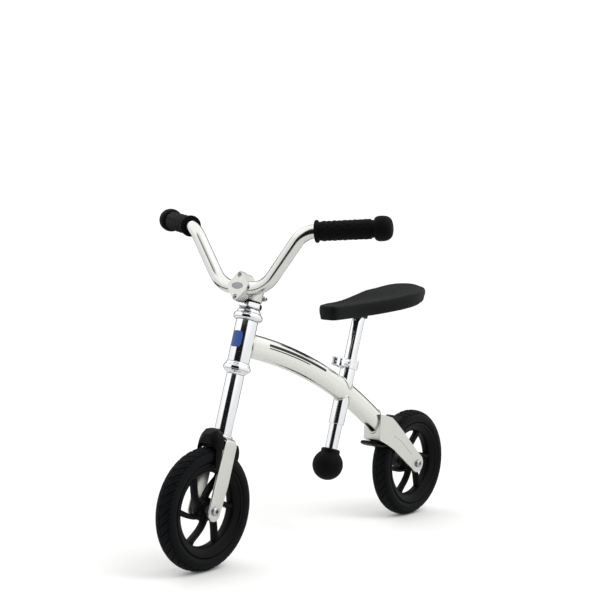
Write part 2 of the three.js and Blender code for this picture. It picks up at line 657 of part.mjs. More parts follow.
function stemClamp() {
  const behindBar = frontPlate(
    diamond(PLATE_HALF_WIDTH - 3, plateHalfHeight - 1), steererRoom - 5, barForward - 0.8, 6);
  const lugs = Object.values(lugBolts).map(({ forward, height, halfWidth }) => join(
    crossRod(LUG_RADIUS, -halfWidth, halfWidth, 20).translate(forward, 0, height),
    block([Math.min(0, forward), -halfWidth, height - LUG_RADIUS],
      [Math.max(0, forward), halfWidth, height + LUG_RADIUS])));
  const lugHoles = Object.values(lugBolts).map(({ forward, height }) =>
    crossRod(LUG_BOLT_RADIUS + GAP, -30, 30, SMALL).translate(forward, 0, height));
  const headRoom = Object.values(lugBolts).map(({ forward, height, halfWidth }) =>
    crossRod(LUG_BOLT_HEAD_RADIUS + GAP, halfWidth, 30).translate(forward, 0, height));
  const body = join(rod(stemRingRadius, stemBottom, stemTop), behindBar, ...lugs);
  return cut(body, rod(steererRoom, stemBottom - 20, stemTop + 40), barRoom(), ...lugHoles, ...headRoom,
    rod(lockNutRadius + 1.5, stemBottom - 60, stemBottom), ...plateBoltRoom(BOLT_RADIUS + GAP, 5, 60),
    block([-60, -0.9, stemBottom - 5], [0, 0.9, stemTop + 5]),
    block([-3, -0.9, stemBottom - 5], [barForward - 1.6, 0.9, lugBolts.front.height + 5]));
}

function facePlate() {
  const front = barForward + BAR_RADIUS + PLATE_COVER;
  const plate = frontPlate(diamond(PLATE_HALF_WIDTH, plateHalfHeight), barForward + 0.8, front, 6);
  const badge = frontPlate(oval(12, 5.5), front - 0.8, front + 5, 12).translate(0, 0, barHeight);
  return cut(plate, barRoom(), badge, ...plateBoltRoom(BOLT_RADIUS + GAP, 5, 60),
    ...plateBoltRoom(BOLT_HEAD_RADIUS + GAP, front - 5, front + 5));
}

// A socket-head bolt along Z, with its head's top at the given height.
function socketBolt(top, length, radius, headRadius) {
  const under = top - BOLT_HEAD_HEIGHT;
  const profile = [
    [0, top - length], [radius, top - length], [radius, under],
    [headRadius, under], [headRadius, top - 0.6], [headRadius - 0.6, top], [0, top]];
  const key = radius * 0.9;
  const socket = new THREE.CylinderGeometry(key, key, 5, 6).rotateX(Math.PI / 2).translate(0, 0, top);
  return cut(turned(profile, SMALL), socket);
}

// ----------------------------------------------------------------- handlebar

steering.updateMatrix();
const barCentre = new THREE.Vector3(barForward, 0, barHeight).applyMatrix4(steering.matrix);

function barPath() {
  const flat = new THREE.Vector3(0, BAR_FLAT_HALF, 0);
  const shoulder = new THREE.Vector3(...BAR_SHOULDER);
  const end = new THREE.Vector3(...GRIP_END);
  const mirrored = (v) => new THREE.Vector3(v.x, -v.y, v.z);
  const barEnd = shoulder.clone().lerp(end, 0.97);
  return filletedPath(mirrored(barEnd), [
    [mirrored(shoulder), BAR_BEND_HIGH], [mirrored(flat), BAR_BEND_LOW],
    [flat, BAR_BEND_LOW], [shoulder, BAR_BEND_HIGH]], barEnd);
}

function handlebarShape() {
  const path = barPath();
  const steps = 44;
  return cut(tube(path, BAR_RADIUS, steps), tube(path, BAR_RADIUS - BAR_WALL, steps, 8));
}

// A grip along Z, its inner end at zero and its end ball at GRIP_LENGTH.
function gripShape() {
  const bore = BAR_RADIUS + GAP;
  const ballStart = GRIP_LENGTH - 15;
  const ballHeight = gripBallRadius * 0.82;
  const profile = [
    [bore, 0], [gripRadius + GRIP_FLANGE, 0], [gripRadius + GRIP_FLANGE, 3.5], [gripRadius - 1, 5],
    [gripRadius, 9], [gripRadius, ballStart - 4], [gripRadius - 2, ballStart - 1]];
  const turns = 5;
  for (let i = 0; i <= turns; i += 1) {
    const angle = radians(-42 + 130 * i / turns);
    profile.push([gripBallRadius * Math.cos(angle), GRIP_LENGTH + ballHeight * Math.sin(angle)]);
  }
  profile.push([0, GRIP_LENGTH + ballHeight], [0, GRIP_LENGTH], [bore, GRIP_LENGTH], [bore, 0]);
  return turned(profile, 18);
}

function placeGrip(name, side) {
  const shoulder = new THREE.Vector3(BAR_SHOULDER[0], side * BAR_SHOULDER[1], BAR_SHOULDER[2]);
  const end = new THREE.Vector3(GRIP_END[0], side * GRIP_END[1], GRIP_END[2]);
  const outward = end.clone().sub(shoulder).normalize();
  const mesh = piece(bike, name, 'rubber', gripShape());
  mesh.quaternion.setFromUnitVectors(new THREE.Vector3(0, 0, 1), outward);
  mesh.position.copy(barCentre).add(end).addScaledVector(outward, -GRIP_LENGTH);
}

// --------------------------------------------------------------------- frame

class FrameArc extends THREE.Curve {
  constructor(start, end) {
    super();
    this.start = start;
    this.end = end;
  }

  getPoint(share, target = new THREE.Vector3()) {
    return target.copy(onFrameArc(this.start + (this.end - this.start) * share));
  }
}

function frameRun(halfWidth, halfHeight, start = FRAME_START, end = frameEnd) {
  return new THREE.ExtrudeGeometry(oval(halfWidth, halfHeight), {
    steps: 14, extrudePath: new FrameArc(start, end), curveSegments: 9 });
}

// A piece built in a turned group, carried into the bike's own frame.
function inBike(geometry, group) {
  group.updateMatrix();
  return geometry.applyMatrix4(group.matrix);
}

function frameTube() {
  const headRoom = inBike(rod(headTubeRadius + GAP, headBottom - 40, headTop + 40, 28), steering);
  const seatRoom = inBike(rod(seatTubeRadius + GAP, SEAT_DROP - 100, SEAT_DROP + 100), seat);
  return cut(frameRun(frameHalfWidth, FRAME_HALF_HEIGHT),
    frameRun(frameHalfWidth - FRAME_WALL, FRAME_HALF_HEIGHT - FRAME_WALL,
      FRAME_START - 1, frameEnd + 1),
    headRoom, seatRoom);
}

// ----------------------------------------------------------------- rear yoke

// The side plates' outline about the rear axle, from the bridge under the frame tube
// back to the round ends. A point is a distance beyond the tyre and an angle in degrees.
const yokeUnder = [[31.5, 26.2], [11.4, 26.1], [-11.9, 24.8], [-47.7, 17.2]];
const yokeOver = [
  [-64.1, 68.8], [-38.4, 57.6], [-12.2, 52.9], [13.6, 50], [30, 48.6], [45.7, 45], [57.9, 42.2]];

function yokeOutline() {
  const shape = new THREE.Shape();
  const place = ([beyond, angle]) => {
    const reach = TYRE_RADIUS + beyond;
    return [reach * Math.cos(radians(angle)), reach * Math.sin(radians(angle))];
  };
  shape.moveTo(...place(yokeUnder[0]));
  yokeUnder.slice(1).forEach((point) => shape.lineTo(...place(point)));
  shape.absarc(0, 0, YOKE_END_RADIUS, radians(-55), radians(-230), true);
  yokeOver.forEach((point) => shape.lineTo(...place(point)));
  shape.closePath();
  return shape;
}

function rearYoke() {
  const half = [
    [-30, yokeHalfWidth], [TYRE_RADIUS - 24, yokeHalfWidth], [TYRE_RADIUS + 4, yokeHalfWidth - 3],
    [TYRE_RADIUS + 25, frameHalfWidth + 2.8]];
  const plan = polygon([...half.map(([x, y]) => [x, -y]), ...half.reverse()]);
  const side = sidePlate(yokeOutline(), -yokeHalfWidth - 1, yokeHalfWidth + 1, 10);
  const body = common(side, planPlate(plan, -60, TYRE_RADIUS + 60));
  const tubeRoom = frameRun(frameHalfWidth + GAP, FRAME_HALF_HEIGHT + GAP, FRAME_START, frameEnd + 0.02)
    .translate(WHEELBASE / 2, 0, -TYRE_RADIUS);
  return cut(body, wheelSpace(TYRE_RADIUS + TYRE_CLEARANCE, rearLegInside), tubeRoom,
    crossRod(AXLE_RADIUS + GAP, -60, 60, 20), fenderScrewRoom());
}

// A curved liner over the front of the rear tyre, with a lip at its lower end.
function rearFender() {
  const outer = TYRE_RADIUS + TYRE_CLEARANCE - GAP;
  const inner = outer - 2.4;
  const shell = cut(wheelSpace(outer, rearLegInside - GAP), wheelSpace(inner, rearLegInside - 1.6));
  const sector = polygon([
    [30, 4], [outer + 34, 12], [outer + 54, 60], [outer + 54, outer + 44], [36, outer + 44], [30, 60]]);
  return cut(common(shell, sidePlate(sector, -40, 40)), fenderScrewRoom());
}

// The screw that holds the liner to the yoke's bridge, pointing forward and up.
const fenderScrewTurn = 33;      // degrees above level

function rearFenderScrew() {
  const start = TYRE_RADIUS + TYRE_CLEARANCE - 2.4;
  return turned([
    [0, start - 2], [BOLT_HEAD_RADIUS, start - 1.6], [BOLT_HEAD_RADIUS, start - 0.6],
    [BOLT_RADIUS, start - 0.6], [BOLT_RADIUS, start + 12], [0, start + 12]], SMALL)
    .rotateY(radians(90 - fenderScrewTurn));
}

function fenderScrewRoom() {
  return rod(BOLT_RADIUS + GAP, TYRE_RADIUS - 20, TYRE_RADIUS + TYRE_CLEARANCE + 11, SMALL)
    .rotateY(radians(90 - fenderScrewTurn));
}

// ---------------------------------------------------------------- seat parts

const postScrewHeight = POST_TOP - POST_SCREW_DROP;
const collarInside = seatTubeRadius + GAP;
const collarOutside = collarInside + COLLAR_WALL;
const collarTop = seatTubeTop + 1;
const collarBottom = collarTop - COLLAR_HEIGHT;
const skewerForward = collarOutside + COLLAR_EAR / 2;
const skewerHeight = collarTop - COLLAR_HEIGHT / 2;

function seatTube() {
  return cut(ring(seatTubeRadius, POST_RADIUS + GAP, seatTubeBottom, seatTubeTop),
    block([0, -SEAT_SLOT / 2, seatTubeTop - 22], [40, SEAT_SLOT / 2, seatTubeTop + 5]));
}

function seatCollar() {
  const ears = block([0, -COLLAR_EAR_HALF_WIDTH, collarBottom + 1],
    [collarOutside + COLLAR_EAR, COLLAR_EAR_HALF_WIDTH, collarTop - 1]);
  return cut(join(rod(collarOutside, collarBottom, collarTop), ears),
    rod(collarInside, collarBottom - 5, collarTop + 5),
    block([0, -SEAT_SLOT, collarBottom - 5], [60, SEAT_SLOT, collarTop + 5]),
    crossRod(SKEWER_RADIUS + GAP, -40, 40, SMALL).translate(skewerForward, 0, skewerHeight));
}

const leverPivot = -COLLAR_EAR_HALF_WIDTH - 8;

// The skewer: a thin rod whose right-hand eye holds the cam pin.
function skewer() {
  const eye = rod(4, skewerHeight - EYE_HALF_HEIGHT, skewerHeight + EYE_HALF_HEIGHT, SMALL)
    .translate(skewerForward, leverPivot, 0);
  const shaft = crossRod(SKEWER_RADIUS, leverPivot, COLLAR_EAR_HALF_WIDTH + 8, SMALL)
    .translate(skewerForward, 0, skewerHeight);
  const pinRoom = rod(CAM_PIN_RADIUS + GAP, skewerHeight - 10, skewerHeight + 10, 12)
    .translate(skewerForward, leverPivot, 0);
  return cut(join(shaft, eye), pinRoom);
}

function skewerNut() {
  return cut(crossRod(5.4, COLLAR_EAR_HALF_WIDTH + GAP, COLLAR_EAR_HALF_WIDTH + 7, 20),
    crossRod(SKEWER_RADIUS + GAP, 0, COLLAR_EAR_HALF_WIDTH + 20, SMALL))
    .translate(skewerForward, 0, skewerHeight);
}

// The cam lever: a forked head round the eye, and a blade that curves back round the post.
function camLever() {
  const half = LEVER_WIDTH / 2;
  const blade = new THREE.Shape();
  const back = skewerForward - LEVER_LENGTH;
  blade.moveTo(skewerForward, leverPivot - 5.6);
  blade.bezierCurveTo(skewerForward - 20, leverPivot - 8.5, back + 22, leverPivot - 9,
    back, leverPivot);
  blade.lineTo(back + 2, leverPivot + LEVER_THICKNESS);
  blade.bezierCurveTo(back + 22, leverPivot - 4.5, skewerForward - 20, leverPivot - 4, skewerForward,
    leverPivot - 0.6);
  blade.closePath();
  const head = rod(6, skewerHeight - half, skewerHeight + half, 24)
    .translate(skewerForward, leverPivot, 0);
  const eyeRoom = block([skewerForward - 7, leverPivot - 12, skewerHeight - EYE_HALF_HEIGHT - GAP],
    [skewerForward + 9, leverPivot + 12, skewerHeight + EYE_HALF_HEIGHT + GAP]);
  const pinRoom = rod(CAM_PIN_RADIUS + GAP, skewerHeight - half - 5, skewerHeight + half + 5, 12)
    .translate(skewerForward, leverPivot, 0);
  const arm = planPlate(blade, skewerHeight - half, skewerHeight + half, 8);
  return cut(join(arm, head), eyeRoom, pinRoom);
}

function camPin() {
  return rod(CAM_PIN_RADIUS, skewerHeight - LEVER_WIDTH / 2, skewerHeight + LEVER_WIDTH / 2, 12)
    .translate(skewerForward, leverPivot, 0);
}

function seatPost() {
  return cut(ring(POST_RADIUS, POST_RADIUS - POST_WALL, -6, POST_TOP),
    longRod(POST_SCREW_RADIUS + GAP, 0, 30, 12).translate(0, 0, postScrewHeight));
}

// A small screw in the front of the post, just under the saddle.
function postScrew() {
  return turned([
    [0, 6], [POST_SCREW_RADIUS, 6], [POST_SCREW_RADIUS, POST_RADIUS + GAP],
    [POST_SCREW_RADIUS + 1.3, POST_RADIUS + GAP], [POST_SCREW_RADIUS + 0.9, POST_RADIUS + 1.5],
    [0, POST_RADIUS + 1.8]], 12).rotateY(Math.PI / 2).translate(0, 0, postScrewHeight);
}

function footBall() {
  const ball = new THREE.SphereGeometry(BALL_RADIUS, 20, 12).rotateX(Math.PI / 2);
  return cut(ball, rod(POST_RADIUS + GAP, -6 - GAP, BALL_RADIUS + 5),
    rod(ballCollarRadius + GAP, ballCollarSeat, BALL_RADIUS + 5));
}

function ballCollar() {
  const bottom = ballCollarSeat + GAP;
  return turned([
    [POST_RADIUS + GAP, bottom], [ballCollarRadius, bottom], [ballCollarRadius, ballCollarTop - 2],
    [ballCollarRadius - 2, ballCollarTop], [POST_RADIUS + GAP, ballCollarTop],
    [POST_RADIUS + GAP, bottom]]);
}

// -------------------------------------------------------------------- saddle

const saddleNose = postTop.x + SADDLE_NOSE_AHEAD;
const saddleNoseHeight = postTop.z + SADDLE_NOSE_ABOVE;

// Half-widths along the saddle, as [share of the length, share of the widest half-width].
const noseShare = SADDLE_NOSE_HALF_WIDTH / SADDLE_HALF_WIDTH;
const saddlePlan = [
  [0, 0], [0.012, noseShare * 0.62], [0.05, noseShare * 0.96], [0.12, noseShare * 1.1], [0.32, 0.58],
  [0.55, 0.88], [0.76, 1], [0.91, 0.82], [0.98, 0.45], [1, 0]];

// The saddle's outline seen from above, drawn in by an inset.
function saddleOutline(inset) {
  const reach = SADDLE_LENGTH - 2 * inset;
  const side = new THREE.SplineCurve(saddlePlan.map(([along, half]) => new THREE.Vector2(
    saddleNose - inset - along * reach, half * (SADDLE_HALF_WIDTH - inset)))).getPoints(20);
  const back = side.slice(1, -1).reverse().map((point) => new THREE.Vector2(point.x, -point.y));
  return new THREE.Shape([...side, ...back]);
}

// Height of the saddle's top at a share of its length: low in front, kicked up at the tail.
function saddleTop(share) {
  return saddleNoseHeight + SADDLE_TAIL_RISE * (0.3 * share + 0.7 * share ** 2.4);
}

// A layer of the saddle between two depths under its top.
function saddleLayer(inset, upper, lower) {
  const steps = 8;
  const line = (depth) => Array.from({ length: steps + 1 }, (_, i) => [
    saddleNose + 2 - (SADDLE_LENGTH + 4) * i / steps, saddleTop(i / steps) - depth]);
  const side = polygon([...line(upper).reverse(), ...line(lower)]);
  const plan = planPlate(saddleOutline(inset), saddleNoseHeight - 80, saddleNoseHeight + 80);
  return common(plan, sidePlate(side, -SADDLE_HALF_WIDTH - 1, SADDLE_HALF_WIDTH + 1));
}

function saddleBoss(radius, bottom) {
  return inBike(rod(radius, bottom, POST_TOP + 3), seat);
}

const saddleScrewSpots = { front: saddleNose - 39, rear: saddleNose - 196 };

function saddleScrewPlace(spot) {
  const share = (saddleNose - spot) / SADDLE_LENGTH;
  return [spot, 0, saddleTop(share) - SADDLE_DEPTH];
}

function saddleScrewHoles() {
  return Object.values(saddleScrewSpots).map((spot) =>
    rod(SADDLE_SCREW_RADIUS + GAP, -5, SADDLE_SCREW_DEPTH + 2, 12).translate(...saddleScrewPlace(spot)));
}

function saddleCushion() {
  const pocket = saddleLayer(
    SADDLE_EDGE, SADDLE_DEPTH - SADDLE_BASE_THICKNESS - GAP, SADDLE_DEPTH + 20);
  return cut(saddleLayer(0, 0, SADDLE_DEPTH), pocket, saddleBoss(saddleBossRadius + GAP, POST_TOP - 80),
    ...saddleScrewHoles());
}

function saddleBase() {
  const plate = saddleLayer(SADDLE_EDGE + GAP, SADDLE_DEPTH - SADDLE_BASE_THICKNESS, SADDLE_DEPTH);
  return cut(join(plate, saddleBoss(saddleBossRadius, POST_TOP - SADDLE_BOSS_DROP)),
    inBike(rod(POST_RADIUS + GAP, POST_TOP - 80, POST_TOP + GAP), seat), ...saddleScrewHoles());
}

// A pan-headed screw up through the base plate.
function saddleScrew(spot) {
  return turned([
    [0, -3.2], [3, -3.2], [SADDLE_SCREW_RADIUS * 2, -1.6], [SADDLE_SCREW_RADIUS * 2, -1],
    [SADDLE_SCREW_RADIUS, -1], [SADDLE_SCREW_RADIUS, SADDLE_SCREW_DEPTH], [0, SADDLE_SCREW_DEPTH]], 12)
    .translate(...saddleScrewPlace(spot));
}

// ---------------------------------------------------------------------- build

piece(bike, 'frame_tube', 'satin', frameTube());
piece(steering, 'head_tube', 'polished', ring(headTubeRadius, headBore, headBottom, headTop, 28));
piece(steering, 'upper_headset_cup', 'polished', upperCup());
piece(steering, 'lower_headset_cup', 'polished', lowerCup());
piece(steering, 'upper_headset_bearing', 'steel', ring(raceRadius, steererRoom,
  cupTop - RACE_HEIGHT + GAP, cupTop));
piece(steering, 'lower_headset_bearing', 'steel', ring(raceRadius, steererRoom,
  headBottom - CUP_HEIGHT, headBottom - CUP_HEIGHT + RACE_HEIGHT - GAP));
piece(steering, 'crown_cone', 'polished', crownCone());
piece(steering, 'top_cone', 'polished', topCone());
piece(steering, 'lock_washer', 'steel', ring(raceRadius - 2, steererRoom,
  cupTop + TOP_CONE + 2 * GAP, cupTop + TOP_CONE + WASHER_HEIGHT + 2 * GAP));
piece(steering, 'lock_nut', 'polished', lockNut());
piece(steering, 'spacer_ring', 'plastic', ring(steererRoom + SPACER_RING_WALL, steererRoom,
  lockNutTop + GAP, lockNutTop + GAP + SPACER_RING_HEIGHT));
piece(steering, 'steerer_tube', 'steel', steererTube());
piece(steering, 'fork_tube', 'polished', forkTube());
piece(steering, 'fork_bracket', 'satin', forkBracket());
piece(steering, 'front_fender', 'plastic', frontFender());
piece(steering, 'front_fender_screw', 'steel', fenderScrew());
piece(steering, 'stem_clamp', 'satin', stemClamp());
piece(steering, 'stem_face_plate', 'satin', facePlate());
for (const [name, side] of [['upper', 1], ['lower', -1]]) {
  const bolt = socketBolt(
    barForward + BAR_RADIUS + PLATE_COVER - 0.6, PLATE_BOLT_LENGTH, BOLT_RADIUS, BOLT_HEAD_RADIUS)
    .rotateY(Math.PI / 2);
  piece(steering, `plate_bolt_${name}`, 'steel', bolt).position.z = barHeight + side * plateBoltOffset;
}
for (const [name, { forward, height, halfWidth }] of Object.entries(lugBolts)) {
  const bolt = socketBolt(halfWidth + BOLT_HEAD_HEIGHT + GAP, 2 * halfWidth + 6, LUG_BOLT_RADIUS,
    LUG_BOLT_HEAD_RADIUS).rotateX(-Math.PI / 2);
  piece(steering, `stem_pinch_bolt_${name}`, 'steel', bolt).position.set(forward, 0, height);
}

piece(bike, 'handlebar', 'polished', handlebarShape()).position.copy(barCentre);
placeGrip('grip_left', 1);
placeGrip('grip_right', -1);

piece(rear, 'rear_yoke', 'satin', rearYoke());
piece(rear, 'rear_fender', 'plastic', rearFender());
piece(rear, 'rear_fender_screw', 'steel', rearFenderScrew());

piece(seat, 'seat_tube', 'polished', seatTube());
piece(seat, 'seat_collar', 'polished', seatCollar());
piece(seat, 'skewer', 'steel', skewer());
piece(seat, 'skewer_nut', 'polished', skewerNut());
piece(seat, 'cam_lever', 'satin', camLever());
piece(seat, 'cam_pin', 'steel', camPin());
piece(seat, 'seat_post', 'polished', seatPost());
piece(seat, 'post_screw', 'steel', postScrew());
piece(seat, 'ball_collar', 'plastic', ballCollar());
piece(seat, 'foot_ball', 'rubber', footBall());
piece(bike, 'saddle_base', 'plastic', saddleBase());
piece(bike, 'saddle_cushion', 'rubber', saddleCushion());
for (const [name, spot] of Object.entries(saddleScrewSpots)) {
  piece(bike, `saddle_screw_${name}`, 'steel', saddleScrew(spot));
}

export default bike;
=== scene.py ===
"""The finished look of a child's balance bike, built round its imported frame.

Every surface is worked out in millimetres in a placement that comes from the frame's
joints, and rides on the body that carries it. Metal and plastic pieces that the frame
already gives the right shape are copied, merged and rounded at their edges.
"""

import json
import math
from contextlib import contextmanager

import bmesh
import bpy
import numpy as np
from mathutils import Matrix, Vector


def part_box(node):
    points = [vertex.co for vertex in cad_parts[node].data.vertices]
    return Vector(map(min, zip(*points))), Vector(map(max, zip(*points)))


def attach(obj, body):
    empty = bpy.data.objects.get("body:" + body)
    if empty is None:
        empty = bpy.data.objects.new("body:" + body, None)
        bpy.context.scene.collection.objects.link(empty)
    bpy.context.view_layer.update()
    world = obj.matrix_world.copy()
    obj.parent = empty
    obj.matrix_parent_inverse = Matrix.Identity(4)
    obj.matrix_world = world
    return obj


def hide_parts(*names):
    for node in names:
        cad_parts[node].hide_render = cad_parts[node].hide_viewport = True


bl_info = {
    "name": "Balance bike",
    "version": (1, 0, 0),
    "blender": (4, 5, 0),
    "location": "View3D > Sidebar > Balance bike",
    "description": "Builds the surfaces and finishes of a child's balance bike",
    "category": "Mesh",
}

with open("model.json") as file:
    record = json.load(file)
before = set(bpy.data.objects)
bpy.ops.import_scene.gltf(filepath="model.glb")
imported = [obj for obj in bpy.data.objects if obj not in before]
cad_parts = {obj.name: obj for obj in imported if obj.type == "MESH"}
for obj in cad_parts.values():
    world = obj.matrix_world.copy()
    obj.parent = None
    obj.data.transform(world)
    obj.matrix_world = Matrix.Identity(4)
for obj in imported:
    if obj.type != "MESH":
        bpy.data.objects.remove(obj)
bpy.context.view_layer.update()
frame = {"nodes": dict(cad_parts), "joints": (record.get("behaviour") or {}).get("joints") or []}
joints = {joint["name"]: joint for joint in frame["joints"]}

MM = 0.001
TAU = 2 * math.pi

# Sizes in millimetres, the same as the frame's own.
TYRE_RADIUS = 100
TYRE_HALF_WIDTH = 18
BEAD_RADIUS = 77
SPOKES = 6
SPOKE_SWEEP = math.radians(38)
SPOKE_BEND = 1.6
HUB_RADIUS = 16
HUB_HALF_WIDTH = 14
BEARING_RADIUS = 11.3
FORK_HALF_WIDTH = 24
FORK_LEG = 3.5
FORK_TOP = 118
FORK_TUBE_TOP = 221.9
FORK_TUBE_RADIUS = 14.5
STEERER_ROOM = 13
HEAD_TUBE_RADIUS = 18
HEAD_BORE = 15.5
HEAD_BOTTOM = 242
HEAD_TOP = 312
CUP_HEIGHT = 12.5
CUP_TOP = HEAD_TOP + CUP_HEIGHT
LOCK_NUT_TOP = 341.4
FRAME_START = math.radians(11.65)
FRAME_JOINT = 272.7
FRAME_END_REACH = 121.3
FRAME_END_ANGLE = math.radians(39.6)
FRAME_HALF_WIDTH = 14.7
FRAME_HALF_HEIGHT = 20
YOKE_HALF_WIDTH = 24
SEAT_TUBE_RADIUS = 13.6
SEAT_TUBE_BOTTOM = 73.4
SEAT_TUBE_TOP = 190
POST_RADIUS = 11.1
POST_TOP = 284
BALL_RADIUS = 27.2
BALL_COLLAR_RADIUS = 17
BALL_COLLAR_SEAT = 18.3
BALL_COLLAR_TOP = 29
BAR_RADIUS = 11
BAR_FLAT = (0, 46, 0)
BAR_SHOULDER = (-8.7, 116.6, 93.8)
GRIP_END = (-64.8, 228.8, 102.7)
GRIP_LENGTH = 106
GRIP_BALL_RADIUS = 20
STEM_FRONT = 41.6
BAR_HEIGHT = 360.6
HOOD_BACK = 17.8
HOOD_DOME_START = 104
HOOD_DOME_RADIUS = 29
HOOD_PULL = 0.75
HOOD_FACET = 5
HOOD_SMOOTH_FROM = 100
SADDLE_DEPTH = 26
SADDLE_LENGTH = 264
SADDLE_RISE = 34
FILM_MIDDLE, FILM_HALF = 0.12, 0.3
GROOVE_EDGE = 0.45
CONE_GAP = 0.3
WELD_SWELL = 0.16


# ---- places

def unit(vector):
    vector = np.asarray(vector, float)
    return vector / np.linalg.norm(vector, axis=-1, keepdims=True)


class Placement:
    """An origin in metres and three unit axes that carry local millimetres into the frame."""

    def __init__(self, origin, up=(0, 0, 1), side=(0, 1, 0)):
        up, side = unit(up), unit(side)
        self.origin = np.array(origin, float)
        self.axes = np.stack([np.cross(side, up), side, up])

    def world(self, points):
        return self.origin + MM * (points @ self.axes)

    def millimetres(self, point):
        return self.world(np.array(point, float)) / MM


def corner_box(node):
    low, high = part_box(node)
    return np.array(low), np.array(high)


ball_low, ball_high = corner_box("foot_ball")
ball_centre = np.array([
    (ball_low[0] + ball_high[0]) / 2, 0, ball_low[2] + BALL_RADIUS * MM])
post_direction = unit(joints["seat_height"]["axis"])

BIKE = Placement((0, 0, 0))
STEERING = Placement(joints["steering_turn"]["pos_m"], joints["steering_turn"]["axis"])
SEAT = Placement(ball_centre, post_direction)
BAR = Placement(joints["handlebar_tilt"]["pos_m"])
WHEELS = {
    end: Placement(joints[f"{end}_wheel_spin"]["pos_m"], (0, 1, 0), (0, 0, -1))
    for end in ("front", "rear")}
REAR = Placement(joints["rear_wheel_spin"]["pos_m"])


# ---- surfaces in numpy

def smooth_line(points, count, closed=False):
    """Catmull-Rom curve: between two points it bends by the directions to their neighbours."""
    p = np.array(points, float)
    if not closed:
        p = np.vstack([2 * p[0] - p[1], p, 2 * p[-1] - p[-2]])
    spans = len(p) if closed else len(p) - 3
    t = np.linspace(0, spans, count, endpoint=not closed)
    i = np.minimum(t.astype(int), spans - 1)
    f = (t - i)[:, None]
    first = i - 1 if closed else i
    a, b, c, d = (p[(first + k) % len(p)] for k in range(4))
    return 0.5 * (2 * b + (c - a) * f + (2 * a - 5 * b + 4 * c - d) * f ** 2
                  + (3 * b - a - 3 * c + d) * f ** 3)


def rounded(corners, steps=4):
    """Closed outline of (x, y, radius) corners, each turned along a parabola between its sides."""
    c = np.array(corners, float)
    p = c[:, :2]
    back, ahead = np.roll(p, 1, 0) - p, np.roll(p, -1, 0) - p
    back_length, ahead_length = np.linalg.norm(back, axis=1), np.linalg.norm(ahead, axis=1)
    reach = np.minimum(c[:, 2], 0.48 * np.minimum(back_length, ahead_length))
    start = p + back * (reach / back_length)[:, None]
    end = p + ahead * (reach / ahead_length)[:, None]
    t = np.linspace(0, 1, steps)[None, :, None]
    curve = (1 - t) ** 2 * start[:, None] + 2 * t * (1 - t) * p[:, None] + t ** 2 * end[:, None]
    return curve.reshape(-1, 2)


def step_lengths(points):
    return np.linalg.norm(np.diff(points, axis=0), axis=1)


def even_line(points, count):
    """The same polyline with its points at equal distances along it."""
    along = np.r_[0, np.cumsum(step_lengths(points))]
    at = np.linspace(0, along[-1], count)
    return np.stack([np.interp(at, along, points[:, k]) for k in range(points.shape[1])], 1)


def even_loop(points, fine, count):
    """A smooth closed curve through the points, then its own points at equal distances."""
    line = smooth_line(points, fine, closed=True)
    return even_line(np.vstack([line, line[:1]]), count + 1)[:-1]


def mirrored(half):
    """The (x, y, ...) corners of half an outline in turned order, on the other side of y = 0."""
    return [(x, -y, *rest) for x, y, *rest in reversed(half)]


def full_turn(count):
    return np.arange(count) * TAU / count


def around(radius, turn, height):
    """Points at a radius and a turn round the local up axis, at a height along it."""
    return np.stack(
        np.broadcast_arrays(radius * np.cos(turn), radius * np.sin(turn), height), -1)


def circle(radius, count):
    return around(radius, full_turn(count), 0.0)[:, :2]


def sheet(points, wrap_rows=True, wrap_columns=True, extent=(1.0, 1.0)):
    """A grid of points with what its edges join to, and its size in metres for the UV map."""
    return {"points": np.asarray(points, float), "wrap": (wrap_rows, wrap_columns),
            "extent": extent}


def turned(corners, segments=64, steps=4):
    """A turned solid: the outline of its (radius, height, rounding) corners is carried round
    the local up axis."""
    profile = rounded(corners, steps)
    grid = around(profile[:, :1], full_turn(segments), profile[:, 1:])
    return sheet(grid, extent=(
        step_lengths(profile).sum() * MM, profile[:, 0].max() * TAU * MM))


def capped(grid):
    """A grid of rings with one point added at the middle of its first and of its last ring."""
    first, last = grid[:1].mean(1, keepdims=True), grid[-1:].mean(1, keepdims=True)
    ring = np.ones((1, grid.shape[1], 1))
    return np.concatenate([first * ring, grid, last * ring])


def swept(path, side, section, closed=False):
    """A section of (across, up) points carried along a path; across is the side direction."""
    around_loop = np.roll(path, -1, 0) - np.roll(path, 1, 0)
    tangent = unit(around_loop if closed else np.gradient(path, axis=0))
    side = np.broadcast_to(np.asarray(side, float), path.shape)
    side = unit(side - (side * tangent).sum(1, keepdims=True) * tangent)
    up = np.cross(tangent, side)
    section = np.broadcast_to(section, (len(path), *section.shape[-2:]))
    grid = path[:, None] + section[..., :1] * side[:, None] + section[..., 1:] * up[:, None]
    size = (step_lengths(path).sum() * MM, step_lengths(section[0]).sum() * MM)
    return sheet(grid, extent=size) if closed else sheet(capped(grid), False, extent=size)


def bead(path, radius, ripples):
    """A weld bead along a closed path: a half-round whose size swells at every ripple."""
    swell = radius * (1 + WELD_SWELL * np.abs(np.sin(full_turn(len(path)) * ripples / 2)))
    outwards = unit(path - path.mean(0))
    return swept(path, outwards, circle(1, 12)[None] * swell[:, None, None], closed=True)


def pulse(distance, half_width):
    """One inside a groove's half-width, falling smoothly to none over its edge."""
    t = np.clip((distance - half_width) / GROOVE_EDGE, 0, 1)
    return 1 - t * t * (3 - 2 * t)


def wave_distance(value, pitch):
    """Distance to the nearest multiple of the pitch."""
    return np.abs((value / pitch + 0.5) % 1 - 0.5) * pitch

# ---- mesh making

